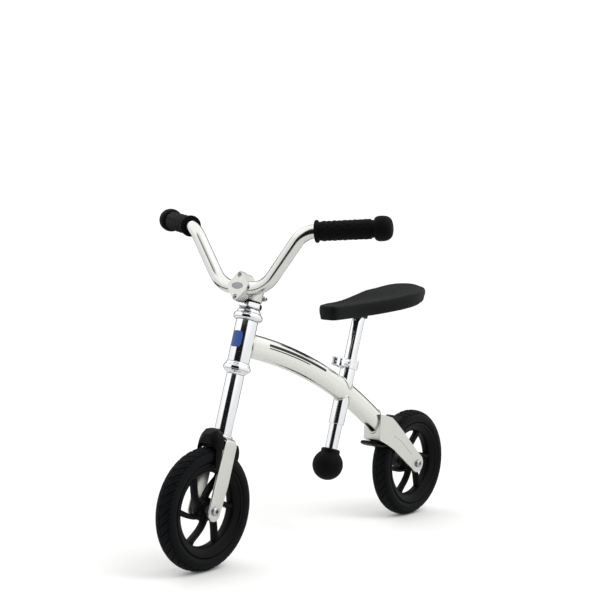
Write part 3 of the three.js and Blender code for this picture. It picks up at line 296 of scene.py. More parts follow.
def quads(shell):
    """Corner numbers and UVs of a grid's faces; a wrapped edge joins back to the start."""
    rows, columns = shell["points"].shape[:2]
    last_row, last_column = rows - (not shell["wrap"][0]), columns - (not shell["wrap"][1])
    i, j = (k.reshape(-1, 1) for k in np.mgrid[0:last_row, 0:last_column])
    down, across = i + np.array([[0, 0, 1, 1]]), j + np.array([[0, 1, 1, 0]])
    faces = (down % rows) * columns + across % columns
    extent = shell["extent"]
    uv = np.stack([down / last_row * extent[0], across / last_column * extent[1]], -1)
    return faces, uv


def volume(points, faces):
    a, b, c, d = (points[faces[:, k]] for k in range(4))
    return ((a * np.cross(b, c)).sum() + (a * np.cross(c, d)).sum()) / 6


@contextmanager
def editing(mesh):
    """Opens a mesh for bmesh operations and writes it back."""
    work = bmesh.new()
    work.from_mesh(mesh)
    yield work
    work.to_mesh(mesh)
    work.free()


def mesh_of(name, shells, placement):
    """One mesh from closed grids: seams and poles are merged and faces point outwards."""
    points, faces, uvs, count = [], [], [], 0
    for shell in shells:
        place = placement.world(shell["points"].reshape(-1, 3))
        corners, uv = quads(shell)
        if volume(place, corners) < 0:
            corners, uv = corners[:, ::-1], uv[:, ::-1]
        points.append(place)
        faces.append(corners + count)
        uvs.append(uv.reshape(-1, 2))
        count += len(place)
    mesh = bpy.data.meshes.new(name)
    mesh.from_pydata(np.concatenate(points), [], np.concatenate(faces))
    mesh.uv_layers.new(name="UVMap").data.foreach_set("uv", np.concatenate(uvs).ravel())
    with editing(mesh) as work:
        bmesh.ops.remove_doubles(work, verts=work.verts, dist=2e-7)
        loose = [edge for edge in work.edges if not edge.link_faces]
        bmesh.ops.delete(work, geom=loose, context="EDGES")
    return mesh


def show(name, mesh, body, look, replaced=(), sharp=36):
    """Puts a mesh into the scene as a piece that rides on a body and stands for CAD nodes."""
    mesh.shade_smooth()
    mesh.set_sharp_from_angle(angle=math.radians(sharp))
    mesh.materials.clear()
    mesh.materials.append(finishes[look])
    piece = bpy.data.objects.new(name, mesh)
    bpy.context.scene.collection.objects.link(piece)
    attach(piece, body)
    if replaced:
        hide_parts(*replaced)
    return piece


def surface(name, shells, placement, body, look, replaced=(), sharp=36):
    return show(name, mesh_of(name, shells, placement), body, look, replaced, sharp)


def apply(piece, name, kind, **settings):
    """Gives a piece the mesh that a modifier with these settings makes of it."""
    modifier = piece.modifiers.new(name, kind)
    for key, value in settings.items():
        setattr(modifier, key, value)
    bpy.context.view_layer.update()
    shaped = piece.evaluated_get(bpy.context.evaluated_depsgraph_get())
    mesh = bpy.data.meshes.new_from_object(shaped)
    piece.modifiers.clear()
    old, piece.data = piece.data, mesh
    bpy.data.meshes.remove(old)


def eased_copy(node, body, look, width, angle=35, segments=2, even=True):
    """A merged copy of a frame piece with its sharp edges eased to a small radius. Where the
    shading is even, the large flat faces rule that of the eased edges beside them."""
    mesh = frame["nodes"][node].data.copy()
    mesh.name = f"{node}_finished"
    sharp = math.radians(angle)
    with editing(mesh) as work:
        bmesh.ops.remove_doubles(work, verts=work.verts, dist=1e-6)
        bmesh.ops.dissolve_limit(
            work, angle_limit=math.radians(0.6), verts=work.verts, edges=work.edges)
        crisp = [e for e in work.edges if e.is_manifold and e.calc_face_angle(0) > sharp]
        bmesh.ops.bevel(
            work, geom=crisp, offset=width * MM, segments=segments, profile=0.5,
            affect="EDGES", clamp_overlap=True)
    piece = show(f"{node}_finished", mesh, body, look, (node,), sharp=42)
    if even:
        apply(piece, "Even shading", "WEIGHTED_NORMAL", keep_sharp=True)
    return piece


def drill(piece, place, radius, low, high):
    """Cuts a round hole through a piece, so that what slides there has its room."""
    corners = [(0, low, 0), (radius, low, 0), (radius, high, 0), (0, high, 0)]
    cutter = bpy.data.objects.new("cutter", mesh_of("cutter", [turned(corners, 64, 1)], place))
    bpy.context.scene.collection.objects.link(cutter)
    apply(piece, "Hole", "BOOLEAN", operation="DIFFERENCE", object=cutter, solver="EXACT")
    bpy.data.meshes.remove(cutter.data)


# ---- finishes

def linear(hex_colour):
    """An sRGB hex colour as linear red, green, blue and full alpha."""
    srgb = np.array([int(hex_colour[k:k + 2], 16) for k in (1, 3, 5)]) / 255
    rgb = np.where(srgb <= 0.04045, srgb / 12.92, ((srgb + 0.055) / 1.055) ** 2.4)
    return (*rgb.tolist(), 1.0)


def add(tree, kind, inputs=(), **settings):
    """Adds a node with its settings, its values and the links into it. A node given as an
    input stands for its first output."""
    node = tree.nodes.new(kind)
    for name, value in settings.items():
        setattr(node, name, value)
    for name, value in dict(inputs).items():
        if isinstance(value, bpy.types.Node):
            value = value.outputs[0]
        if isinstance(value, bpy.types.NodeSocket):
            tree.links.new(value, node.inputs[name])
        else:
            node.inputs[name].default_value = value
    return node


def finish(name, colour, share, cloud, grain=None, rough=None, depth=0.0, drawn=0.0,
           pebbled=False, **constants):
    """A material whose colour drifts to a share of itself in a cloud, while a grain drives its
    roughness and its bump. Cloud and grain are the size in millimetres and the detail of a
    noise; without a grain the cloud does both. A drawn grain is stretched along the first
    direction of the UV map, and a pebbled one has round cells. Depth is the bump's real
    height in millimetres. Constants are set on the shader's own sockets."""
    material = bpy.data.materials.new(name)
    material.use_nodes = True
    tree = material.node_tree
    shader = tree.nodes["Principled BSDF"]
    for key, value in constants.items():
        shader.inputs[key.replace("_", " ")].default_value = value
    at = add(tree, "ShaderNodeTexCoord").outputs
    field = drift = add(tree, "ShaderNodeTexNoise", {
        "Vector": at["Object"], "Scale": 1 / (cloud[0] * MM), "Detail": cloud[1],
        "Roughness": 0.55}).outputs["Fac"]
    if pebbled:
        field = add(tree, "ShaderNodeTexVoronoi", {
            "Vector": at["Object"], "Scale": 1 / (grain[0] * MM), "Randomness": 1.0},
            feature="SMOOTH_F1").outputs["Distance"]
    elif grain:
        vector = at["Object"]
        if drawn:
            vector = add(tree, "ShaderNodeMapping", {"Vector": at["UV"], "Scale": (drawn, 1, 1)})
        field = add(tree, "ShaderNodeTexNoise", {
            "Vector": vector, "Scale": 1 / (grain[0] * MM), "Detail": grain[1],
            "Roughness": 0.6 if drawn else 0.55}).outputs["Fac"]
    far = (*(share * value for value in colour[:3]), 1.0)
    mix = add(tree, "ShaderNodeMix", {"Factor": drift, 6: tuple(colour), 7: far},
              data_type="RGBA")
    tree.links.new(mix.outputs[2], shader.inputs["Base Color"])
    if rough:
        spread = add(tree, "ShaderNodeMapRange", {
            "Value": field, "To Min": rough[0], "To Max": rough[1]})
        tree.links.new(spread.outputs[0], shader.inputs["Roughness"])
    if depth:
        bump = add(tree, "ShaderNodeBump", {
            "Height": field, "Distance": depth * MM, "Strength": 1.0})
        tree.links.new(bump.outputs[0], shader.inputs["Normal"])
    return material


def make_finishes(colours):
    """Every finish under its short name, each started from what the real material is."""
    metal = {"Metallic": 1.0}
    return {
        # Drawn aluminium tube, buffed: bright, with faint wipe marks a few millimetres long.
        "polished": finish(
            "buffed_tube", colours.polished, 0.93, (9, 3), rough=(0.08, 0.14), **metal),
        "bar": finish(
            "satin_buffed_bar", colours.bar, 0.93, (9, 3), rough=(0.12, 0.19), **metal),
        # Brushed and clear anodised oval tube: fine lines run along it, drawn 0.5 mm wide to
        # show.
        "brushed": finish(
            "brushed_aluminium_tube", colours.brushed, 0.94, (30, 3), (0.5, 2), (0.12, 0.2),
            0.004, drawn=0.012, **metal),
        # Cast and pressed aluminium, bead blasted: an even satin with a grain of about half a
        # millimetre.
        "blasted": finish(
            "bead_blasted_aluminium", colours.blasted, 0.92, (22, 3), (0.55, 2), (0.28, 0.4),
            0.003, **metal),
        # Zinc-plated steel fasteners and rings: grey, a little blue, with turning marks.
        "steel": finish(
            "zinc_plated_steel", colours.steel, 0.75, (0.7, 3), rough=(0.2, 0.42), depth=0.01,
            **metal),
        # Moulded solid tyre: charcoal, dull on the tread, with a faint bloom and mould grain.
        "tyre": finish(
            "moulded_tyre_rubber", colours.tyre, 1.9, (14, 5), (0.8, 2), (0.5, 0.66), 0.04,
            Specular_IOR_Level=0.06),
        # Soft rubber of the grips and the foot ball: matt black with a 1 mm leathery grain.
        "grip": finish(
            "soft_grip_rubber", colours.grip, 2.0, (1.0, 3), rough=(0.5, 0.72), depth=0.09,
            Specular_IOR_Level=0.05),
        # Self-skinned polyurethane foam: a dense black skin with a fine pebbled grain 1.3 mm
        # across.
        "saddle": finish(
            "self_skinned_foam", colours.saddle, 1.5, (25, 3), (1.3, 0), (0.42, 0.6), 0.06,
            pebbled=True, Specular_IOR_Level=0.1),
        # Black polypropylene, injection moulded: a low sheen and a spark-eroded grain of 0.6 mm.
        "plastic": finish(
            "moulded_black_polypropylene", colours.plastic, 1.6, (18, 2), (0.6, 2),
            (0.34, 0.48), 0.02, Specular_IOR_Level=0.06),
        # Screen-printed vinyl film under clear lacquer: flat colour with a slight orange peel.
        **{look: finish(
            name, colour, 1.25, (1.6, 2), depth=0.01, Roughness=0.3, Specular_IOR_Level=0.16)
            for look, name, colour in (
                ("stripe", "printed_stripe_film", colours.stripe),
                ("badge", "blue_badge_film", colours.badge),
                ("grey_film", "grey_badge_film", linear("#8A8C8E")))},
        # Matt white paint, rolled on: hardly any change of tone over a hand's width.
        "floor": finish(
            "matt_white_floor", colours.floor, 0.985, (300, 3), Roughness=0.9,
            Specular_IOR_Level=0.1),
    }


finishes = {}


# ---- what a user can set

def colour_property(name, description, hex_colour):
    return bpy.props.FloatVectorProperty(
        name=name, description=description, subtype="COLOR", size=4, min=0, max=1,
        default=linear(hex_colour))


class BikeColours(bpy.types.PropertyGroup):
    polished: colour_property("Polished metal", "Buffed tubes, cups and nuts", "#D2D3D5")
    bar: colour_property("Handlebar", "The bent handlebar tube", "#C3C3C0")
    brushed: colour_property("Brushed metal", "The oval frame tube", "#CDCDC8")
    blasted: colour_property("Blasted metal", "Fork strap, yoke, stem and lever", "#BEBEB9")
    steel: colour_property("Steel", "Bolts, bearings and spacers", "#A7A9AC")
    tyre: colour_property("Tyre", "Tyre rubber", "#060708")
    grip: colour_property("Grip", "Grips and foot ball", "#050506")
    saddle: colour_property("Saddle", "Saddle skin", "#060708")
    plastic: colour_property("Plastic", "Rims, fenders and rings", "#050506")
    stripe: colour_property("Stripe", "Printed stripes on the frame tube", "#08080A")
    badge: colour_property("Badge", "Plain film on the head tube", "#2F4B86")
    floor: colour_property("Floor", "Studio floor", "#F7F7F6")


class BikeSizes(bpy.types.PropertyGroup):
    tread_blocks: bpy.props.IntProperty(
        name="Tread blocks", description="V-shaped blocks round a tyre", default=40, min=8, max=90)
    tread_depth: bpy.props.FloatProperty(
        name="Tread depth", description="Depth of the tread grooves", default=0.0017,
        min=0, max=0.004, unit="LENGTH", precision=4)
    grip_rows: bpy.props.IntProperty(
        name="Grip rows", description="Rows of pads round a grip", default=10, min=4, max=24)
    grip_relief: bpy.props.FloatProperty(
        name="Grip relief", description="How far the pads stand out", default=0.0011,
        min=0, max=0.003, unit="LENGTH", precision=4)
    weld_radius: bpy.props.FloatProperty(
        name="Weld bead", description="Radius of the weld beads", default=0.0022,
        min=0.0005, max=0.005, unit="LENGTH", precision=4)
    saddle_crown: bpy.props.FloatProperty(
        name="Saddle crown", description="How far the saddle's middle rises over its edge",
        default=0.003, min=0, max=0.01, unit="LENGTH", precision=4)


# ---- the wheels

def tyre_surface(tread_blocks, tread_depth):
    """Tyre section round the axle. Its outside sinks by a V groove in every block, a sipe
    between two grooves, a zigzag line in the middle and notches at the shoulders."""
    half = [(TYRE_RADIUS, 0), (99.7, 4.5), (98.4, 9), (95.6, 13.2), (91.6, 16.4),
            (87.2, TYRE_HALF_WIDTH), (83.2, 17.8), (79.9, 16.7), (BEAD_RADIUS + 0.6, 14.6),
            (BEAD_RADIUS + 0.3, 10), (BEAD_RADIUS + 0.3, 0)]
    profile = even_loop(half + mirrored(half[1:-1]), 600, 96)
    radius, across = profile[:, :1], profile[:, 1:]
    turn = full_turn(800)
    along = turn * TYRE_RADIUS
    pitch = TAU * TYRE_RADIUS / tread_blocks
    lean = along + 1.15 * np.abs(across)
    groove = pulse(wave_distance(lean, pitch), 0.9)
    sipe = 0.55 * pulse(wave_distance(lean + pitch / 2, pitch), 0.35) * (np.abs(across) > 3.5)
    swing = 1.6 * (2 * wave_distance(along, pitch) / pitch - 0.5)
    middle = 0.8 * pulse(np.abs(across - swing), 0.5)
    notch = pulse(wave_distance(along + 3, pitch / 2), 1.3) * (np.abs(across) > 13.5)
    tread = np.clip((radius - 92.5) / 2.0, 0, 1)
    ridge = 0.5 * np.exp(-((radius - 83.5) / 0.7) ** 2) * (radius > BEAD_RADIUS + 2)
    sink = tread * tread_depth * np.maximum.reduce([groove, sipe, middle, notch]) - ridge
    out = unit(np.stack([radius - 84, across], -1)[:, 0])
    radius, across = radius - sink * out[:, :1], across - sink * out[:, 1:]
    return [sheet(around(radius, turn, across))]


def blade(turn):
    """One spoke: a ridged section along a line that turns back as it nears the hub."""
    share = np.linspace(0, 1, 24)
    radius = HUB_RADIUS - 3 + share * (63 - HUB_RADIUS)
    angle = turn - SPOKE_SWEEP * (1 - share) ** SPOKE_BEND
    path = around(radius, -angle, 0.0)
    corners = [(-7.4, 0), (-5, -4), (5, -4), (7.4, 0), (5, 4), (-5, 4)]
    section = rounded([(x, y, 0.8) for x, y in corners], 3)
    spread = 1 + 0.35 * (2 * share - 1)[:, None, None] ** 4
    return swept(path, (0, 0, 1), section * np.concatenate([0 * spread + 1, spread], -1))


def rim_surfaces(phase):
    """A barrel with lipped sides that narrows inwards, a hub and the swirled spokes."""
    half = [(76.9, 14.8, 0.5), (75.6, 16.1, 1.1), (72.8, 16.1, 1.2), (71.6, 13.6, 0.9),
            (69.6, 12.9, 1.4), (61.5, 8.6, 4), (60, 4, 3)]
    barrel = half + mirrored(half)
    side = [(BEARING_RADIUS, 7.2, 0.3), (BEARING_RADIUS, HUB_HALF_WIDTH, 0.6),
            (HUB_RADIUS - 1, HUB_HALF_WIDTH, 1), (HUB_RADIUS, 9, 3), (HUB_RADIUS + 4, 5, 2)]
    hub = side + mirrored(side) + [(8, -7.2, 0.3), (8, 7.2, 0.3)]
    spokes = [blade(phase + TAU * i / SPOKES) for i in range(SPOKES)]
    return [turned(barrel, 128), turned(hub, 64), *spokes]


class OBJECT_OT_bike_wheels(bpy.types.Operator):
    """Tyres with their tread, rims with swirled spokes, and the axle bolts"""
    bl_idname = "object.bike_wheels"
    bl_label = "Wheels"

    def execute(self, context):
        sizes = context.scene.bike_sizes
        for end, phase in (("front", 4), ("rear", -4)):
            place, body = WHEELS[end], f"{end}_wheel"
            tyre = tyre_surface(sizes.tread_blocks, sizes.tread_depth / MM)
            surface(f"{end}_tyre_tread", tyre, place,
                    body, "tyre", (f"{end}_tyre",), sharp=50)
            surface(f"{end}_rim_spokes", rim_surfaces(math.radians(phase)), place,
                    body, "plastic", (f"{end}_rim",))
        for end, body in (("front", "steering"), ("rear", "frame")):
            eased_copy(f"{end}_axle_bolt", body, "steel", 0.3)
            eased_copy(f"{end}_axle_nut", body, "steel", 0.8)
        return {"FINISHED"}


# ---- the fork

def fork_strap():
    """A strap bent over the wheel: up one leg, across the crown and down the other. Its width
    follows the height, and its ends are half circles about points just under the axle."""
    middle = FORK_HALF_WIDTH - FORK_LEG / 2
    bend, top = 6.25, FORK_TOP - FORK_LEG / 2
    end_radius, end_height = 13.3, -3.5
    dip = end_height - end_radius * np.cos(np.linspace(0, TAU / 4, 12))
    rise = np.linspace(end_height, top - bend, 30)[1:]
    leg = np.stack([np.full(41, middle), np.r_[dip, rise]], 1)
    turn = np.linspace(0, TAU / 4, 9)[1:]
    bow = np.stack([middle - bend + bend * np.cos(turn), top - bend + bend * np.sin(turn)], 1)
    half = np.vstack([leg, bow])
    crown = np.stack([np.linspace(middle - bend, bend - middle, 9)[1:-1], np.full(7, top)], 1)
    line = np.vstack([half, crown, (half * (-1, 1))[::-1]])
    height = line[:, 1]
    front = np.interp(height, [end_height, 38, 108, top], [17.8, 17.8, 14.3, 9.5])
    back = np.interp(height, [end_height, 44, 108, top], [-8.8, -13.8, -14.2, -9.5])
    lobe = np.sqrt(np.clip(end_radius ** 2 - (height - end_height) ** 2, 0.04, None))
    front = np.where(height < end_height, 4.5 + lobe, front)
    back = np.where(height < end_height, 4.5 - lobe, back)
    path = np.stack([(front + back) / 2, line[:, 0], height], 1)
    centre = np.stack([0 * height, line[:, 0], height], 1)
    return path, centre, (front - back) / 2


def strap_surface():
    """Rounded section of the strap carried along its line, its across direction forwards."""
    path, centre, half_width = fork_strap()
    tangent = unit(np.gradient(centre, axis=0))
    side = np.broadcast_to([1.0, 0, 0], centre.shape)
    up = np.cross(tangent, side)
    corner, thick = 1.1, FORK_LEG / 2
    turn = np.linspace(0, TAU / 4, 5)
    quarter = np.stack([np.cos(turn), np.sin(turn)], 1)
    signs = np.array([(1, 1), (-1, 1), (-1, -1), (1, -1)])
    arcs = [quarter * s if k % 2 == 0 else (quarter * s)[::-1] for k, s in enumerate(signs)]
    arc, sign = np.concatenate(arcs), np.repeat(signs, len(turn), 0)
    inner = np.maximum(half_width - corner, 0.02)[:, None]
    across = sign[:, 0] * inner + arc[:, 0] * np.minimum(corner, half_width)[:, None]
    lift = np.broadcast_to(sign[:, 1] * (thick - corner) + arc[:, 1] * corner, across.shape)
    grid = path[:, None] + across[..., None] * side[:, None] + lift[..., None] * up[:, None]
    return sheet(capped(grid), False, extent=(0.3, 0.05))


def round_the_hood(hood):
    """Draws the hood in towards its top along a circle, so that the box becomes a round lobe."""
    mesh = hood.data
    with editing(mesh) as work:
        bmesh.ops.triangulate(work, faces=work.faces)
        for _ in range(4):
            long = [edge for edge in work.edges if edge.calc_length() > HOOD_FACET * MM]
            bmesh.ops.subdivide_edges(work, edges=long, cuts=1)
            bmesh.ops.triangulate(work, faces=work.faces)
    points = np.empty(len(mesh.vertices) * 3)
    mesh.vertices.foreach_get("co", points)
    local = (points.reshape(-1, 3) - STEERING.origin) @ STEERING.axes.T / MM
    lift = np.clip((local[:, 2] - HOOD_DOME_START) / HOOD_DOME_RADIUS, 0, 0.95)
    draw_in = np.sqrt(1 - lift ** 2)
    ahead = np.maximum(local[:, 0] - HOOD_BACK, 0)
    local[:, 0] -= ahead * HOOD_PULL * (1 - draw_in)
    local[:, 1] *= draw_in
    mesh.vertices.foreach_set("co", STEERING.world(local).ravel())
    mesh.vertices.foreach_get("co", points)
    high = (points.reshape(-1, 3) - STEERING.origin) @ STEERING.axes[2] > HOOD_SMOOTH_FROM * MM
    with editing(mesh) as work:
        lobe = list(np.array(work.verts, object)[high])
        for _ in range(5):
            bmesh.ops.smooth_vert(work, verts=lobe, factor=0.5,
                                  use_axis_x=True, use_axis_y=True, use_axis_z=True)
    mesh.shade_smooth()
    mesh.set_sharp_from_angle(angle=math.radians(60))


class OBJECT_OT_bike_fork(bpy.types.Operator):
    """Bent strap, fork tube with its weld, and the hood over the tyre"""
    bl_idname = "object.bike_fork"
    bl_label = "Fork"

    def execute(self, context):
        weld = context.scene.bike_sizes.weld_radius / MM
        surface("fork_strap", [strap_surface()], STEERING, "steering", "blasted",
                ("fork_bracket",), sharp=50)
        surface("fork_tube_polished", [turned([
            (STEERER_ROOM, FORK_TOP + 0.3, 0.2), (FORK_TUBE_RADIUS, FORK_TOP + 0.3, 0.2),
            (FORK_TUBE_RADIUS, FORK_TUBE_TOP, 0.8), (STEERER_ROOM, FORK_TUBE_TOP, 0.2)])],
            STEERING, "steering", "polished", ("fork_tube",))
        path = around(FORK_TUBE_RADIUS + 0.4, full_turn(96), FORK_TOP + 1.2) * (0.93, 1, 1)
        surface("fork_weld", [bead(path, weld * 1.25, 44)], STEERING, "steering",
                "blasted")
        hood = eased_copy("front_fender", "steering", "plastic", 1.6, 28, 3, even=False)
        round_the_hood(hood)
        eased_copy("front_fender_screw", "steering", "steel", 0.3)
        return {"FINISHED"}


# ---- the headset

def headset_pieces():
    """Profiles of the pieces stacked on the steering axis, from the crown cone to the spacer."""
    low, high = HEAD_BOTTOM, HEAD_TOP
    cup = low - CUP_HEIGHT
    cone = cup - CONE_GAP
    top = CUP_TOP + CONE_GAP
    spacer = LOCK_NUT_TOP + CONE_GAP
    return {
        "crown_cone": [
            (13, cone - 7, 0.3), (15.4, cone - 7, 0.6), (16.6, cone - 4, 2),
            (19.9, cone - 2, 0.8), (20.5, cone, 0.3), (13, cone, 0.2)],
        "lower_headset_cup": [
            (19.9, cup, 0.3), (22.5, cup, 0.8), (22.5, cup + 5.6, 1.2), (20.2, cup + 7.6, 1),
            (19.8, low - 1.6, 1), (18.5, low - 0.3, 0.5), (15.2, low - 0.3, 0.2),
            (15.2, low + 10, 0.3), (13.4, low + 10, 0.2), (13.4, cup + 6, 0.2),
            (19.9, cup + 6, 0.2)],
        "head_tube": [
            (HEAD_BORE, low, 0.3), (HEAD_TUBE_RADIUS, low, 0.8),
            (HEAD_TUBE_RADIUS, high, 0.8), (HEAD_BORE, high, 0.3)],
        "upper_headset_cup": [
            (13.4, high - 10, 0.2), (15.2, high - 10, 0.3), (15.2, high + 0.3, 0.2),
            (20.4, high + 0.3, 1.2), (23.4, high + 2.8, 2.4), (24.2, high + 6.2, 3),
            (23.4, CUP_TOP - 2.6, 2.4), (20.6, CUP_TOP, 1), (19.8, CUP_TOP, 0.2),
            (19.8, CUP_TOP - 6, 0.2), (13.4, CUP_TOP - 6, 0.2)],
        "top_cone": [
            (13, top, 0.2), (19.5, top, 0.5), (19.5, CUP_TOP + 2.6, 1),
            (16.6, CUP_TOP + 6.8, 0.8), (13, CUP_TOP + 6.8, 0.2)],
        "spacer_ring": [
            (13, spacer, 0.2), (15, spacer, 0.4), (15, LOCK_NUT_TOP + 2.9, 0.4),
            (13, LOCK_NUT_TOP + 2.9, 0.2)],
    }


def film_patch(place, low_turn, high_turn, low, high, power):
    """A thin film on a curved wall. A square grid is squeezed into a rounded outline, and the
    place function carries (turn, height, distance off the wall) onto the wall."""
    u, v = np.meshgrid(np.linspace(-1, 1, 33), np.linspace(-1, 1, 41), indexing="ij")
    pull = (np.abs(u) ** power + np.abs(v) ** power) ** (1 / power)
    big = np.maximum(np.abs(u), np.abs(v))
    ratio = np.divide(big, pull, out=np.ones_like(big), where=pull > 0)
    u, v = u * ratio, v * ratio
    turn = (low_turn + high_turn) / 2 + u * (high_turn - low_turn) / 2
    height = (low + high) / 2 + v * (high - low) / 2
    top, under = (place(turn, height, FILM_MIDDLE + k * FILM_HALF) for k in (1, -1))
    rows = np.concatenate([under, top[::-1]])
    first, last = ((edge + edge[::-1]) / 2 for edge in (rows[:, :1], rows[:, -1:]))
    return sheet(np.concatenate([first, rows, last], 1), True, False, extent=(0.02, 0.02))


class OBJECT_OT_bike_headset(bpy.types.Operator):
    """Head tube, cups, cones, lock nut and spacer, all turned"""
    bl_idname = "object.bike_headset"
    bl_label = "Head tube and headset"

    def execute(self, context):
        fixed = ("head_tube", "upper_headset_cup", "lower_headset_cup")
        pieces = headset_pieces()
        spacer = pieces.pop("spacer_ring")
        for name, corners in pieces.items():
            surface(f"{name}_turned", [turned(corners, 96)], STEERING,
                    "frame" if name in fixed else "steering", "polished", (name,))
        eased_copy("lock_nut", "steering", "polished", 0.5)
        surface("spacer_ring_turned", [turned(spacer, 96)], STEERING, "steering", "plastic",
                ("spacer_ring",))

        def on_head(turn, height, off):
            return around(HEAD_TUBE_RADIUS + off, turn, height)

        surface("head_badge", [film_patch(on_head, -0.62, 0.62, 265, 292, 4)], STEERING, "frame",
                "badge")
        return {"FINISHED"}


# ---- the stem and handlebar

class OBJECT_OT_bike_stem(bpy.types.Operator):
    """Stem clamp, face plate with a blank badge, and their bolts"""
    bl_idname = "object.bike_stem"
    bl_label = "Stem"

    def execute(self, context):
        eased_copy("stem_clamp", "steering", "blasted", 0.5, 32)
        eased_copy("stem_face_plate", "steering", "blasted", 0.8, 32, 3)
        for name in ("plate_bolt_upper", "plate_bolt_lower", "stem_pinch_bolt_front",
                     "stem_pinch_bolt_rear"):
            eased_copy(name, "steering", "steel", 0.25)
        face = STEERING.world(np.array([STEM_FRONT - 1.0, 0, BAR_HEIGHT]))
        place = Placement(face, STEERING.axes[0])
        badge = turned([(0, 0, 0), (5.2, 0, 0.2), (5.2, 0.7, 0.5), (3.4, 1.0, 1), (0, 1.1, 0)], 48)
        badge["points"] = badge["points"] * (1, 11.6 / 5.2, 1)
        surface("stem_badge", [badge], place, "steering", "grey_film")
        return {"FINISHED"}


def bar_path():
    """Straight runs joined by cubic curves: flat in the middle, up to the shoulders and out
    to the grips."""
    flat, shoulder, end = (np.array(p, float) for p in (BAR_FLAT, BAR_SHOULDER, GRIP_END))
    mirror = np.array([1, -1, 1])
    tip = shoulder + 0.97 * (end - shoulder)
    corners = [(shoulder * mirror, 40), (flat * mirror, 50), (flat, 50), (shoulder, 40)]
    points, stops = [tip * mirror], [tip * mirror, *(c for c, _ in corners), tip]
    t = np.linspace(0, 1, 16)[:, None]
    for k, (corner, radius) in enumerate(corners):
        back, ahead = unit(stops[k] - corner), unit(stops[k + 2] - corner)
        reach = radius / math.tan(math.acos(back @ ahead) / 2)
        a, d = corner + back * reach, corner + ahead * reach
        b, c = a - back * reach * 0.58, d - ahead * reach * 0.58
        points.extend((1 - t) ** 3 * a + 3 * t * (1 - t) ** 2 * b
                      + 3 * t ** 2 * (1 - t) * c + t ** 3 * d)
    points.append(tip)
    return even_line(np.array(points), 220)


def grip_surface(rows, relief_mm):
    """A turned grip with a flange and an end ball. Between them staggered pads stand out of the
    body: their height is a smooth cosine hump in the turn and in the length."""
    profile = rounded([
        (11.1, 0.3, 0.2), (18, 0.3, 1.4), (18, 4.4, 1.4), (14.6, 5.6, 1), (14.8, 9, 1),
        (15.2, 9.4, 0.4), (15.2, 88, 0.4), (13.8, 90, 1), (13.8, 93.5, 1), (17.6, 95, 1.6),
        (19.6, 99, 4), (GRIP_BALL_RADIUS, 106, 6), (19.0, 114, 6), (14.5, 120.2, 6),
        (7, 122.3, 5), (0, 122.4, 0), (0, 106, 0), (11.1, 106, 0.2)], 6)
    body = np.linspace(9.6, 87.8, 150)
    split = np.nonzero(profile[:, 1] >= 87.9)[0][0]
    profile = np.vstack([profile[:split], np.stack([0 * body + 15.2, body], 1), profile[split:]])
    radius, height = profile[:, :1], profile[:, 1:]
    turn = full_turn(160)
    pitch = 8.2
    row = np.floor((height - 10) / pitch)
    along = np.cos(TAU / 2 * np.clip(((height - 10) / pitch - row - 0.5) * 1.12, -0.5, 0.5))
    across = np.cos(TAU / 2 * (((turn * rows / TAU + row % 2 / 2) % 1 - 0.5)))
    hump = np.clip(along * across, 0, 1) ** 0.45
    inside = (np.abs(radius - 15.2) < 0.05) & (height > 9.5) & (height < 87.9)
    radius = radius + inside * relief_mm * (hump - 0.25)
    return [sheet(around(radius, turn, height))]


class OBJECT_OT_bike_handlebar(bpy.types.Operator):
    """Bent handlebar and the two padded grips"""
    bl_idname = "object.bike_handlebar"
    bl_label = "Handlebar and grips"

    def execute(self, context):
        sizes = context.scene.bike_sizes
        surface("handlebar_tube", [swept(bar_path(), (1, 0, 0), circle(BAR_RADIUS, 40))], BAR,
                "handlebar_set", "bar", ("handlebar",), sharp=60)
        for name, side in (("left", 1), ("right", -1)):
            mirror = np.array([1, side, 1])
            outward = unit((np.array(GRIP_END) - BAR_SHOULDER) * mirror)
            start = BAR.world(np.array(GRIP_END) * mirror - outward * GRIP_LENGTH)
            place = Placement(start, outward, np.cross(outward, (1, 0, 0)))
            grip = grip_surface(sizes.grip_rows, sizes.grip_relief / MM)
            surface(f"grip_{name}_moulding", grip, place,
                    "handlebar_set", "grip", (f"grip_{name}",), sharp=60)
        return {"FINISHED"}


# ---- the frame

class FrameArc:
    """The arc of the oval tube: it leaves the head at its start slope and ends beyond the rear
    tyre, so the chord between those points gives its radius and its end slope."""

    def __init__(self):
        start = STEERING.millimetres((0, 0, FRAME_JOINT))
        towards = np.array([math.cos(FRAME_END_ANGLE), 0, math.sin(FRAME_END_ANGLE)])
        chord = start - REAR.millimetres(FRAME_END_REACH * towards)
        slope = math.atan2(chord[2], chord[0])
        self.radius = np.linalg.norm(chord) / 2 / math.sin(slope - FRAME_START)
        self.end = 2 * slope - FRAME_START
        inwards = np.array([math.sin(FRAME_START), 0, -math.cos(FRAME_START)])
        self.centre = start + self.radius * inwards

    def point(self, slope, off=0.0, side=0.0):
        """A point at a slope, lifted off the arc and moved to the left."""
        reach = self.radius + off
        return np.stack(np.broadcast_arrays(
            self.centre[0] - reach * np.sin(slope), side,
            self.centre[2] + reach * np.cos(slope)), -1)


arc = FrameArc()


def head_slope(off, side, radius):
    """Slope at which a line of the tube reaches a cylinder round the steering axis."""
    slope = np.full(np.shape(off), FRAME_START)
    origin, forward = STEERING.origin / MM, STEERING.axes[0]
    for _ in range(4):
        ahead = (arc.point(slope, off, side) - origin) @ forward
        slope = slope + (ahead + np.sqrt(radius ** 2 - side ** 2)) / arc.radius
    return slope


def tube_section(count, proud):
    """The oval's points to the side and off the arc, a little proud of it, and their turn."""
    turn = full_turn(count)
    side, off = FRAME_HALF_WIDTH + proud, FRAME_HALF_HEIGHT + proud
    return side * np.cos(turn), off * np.sin(turn), turn


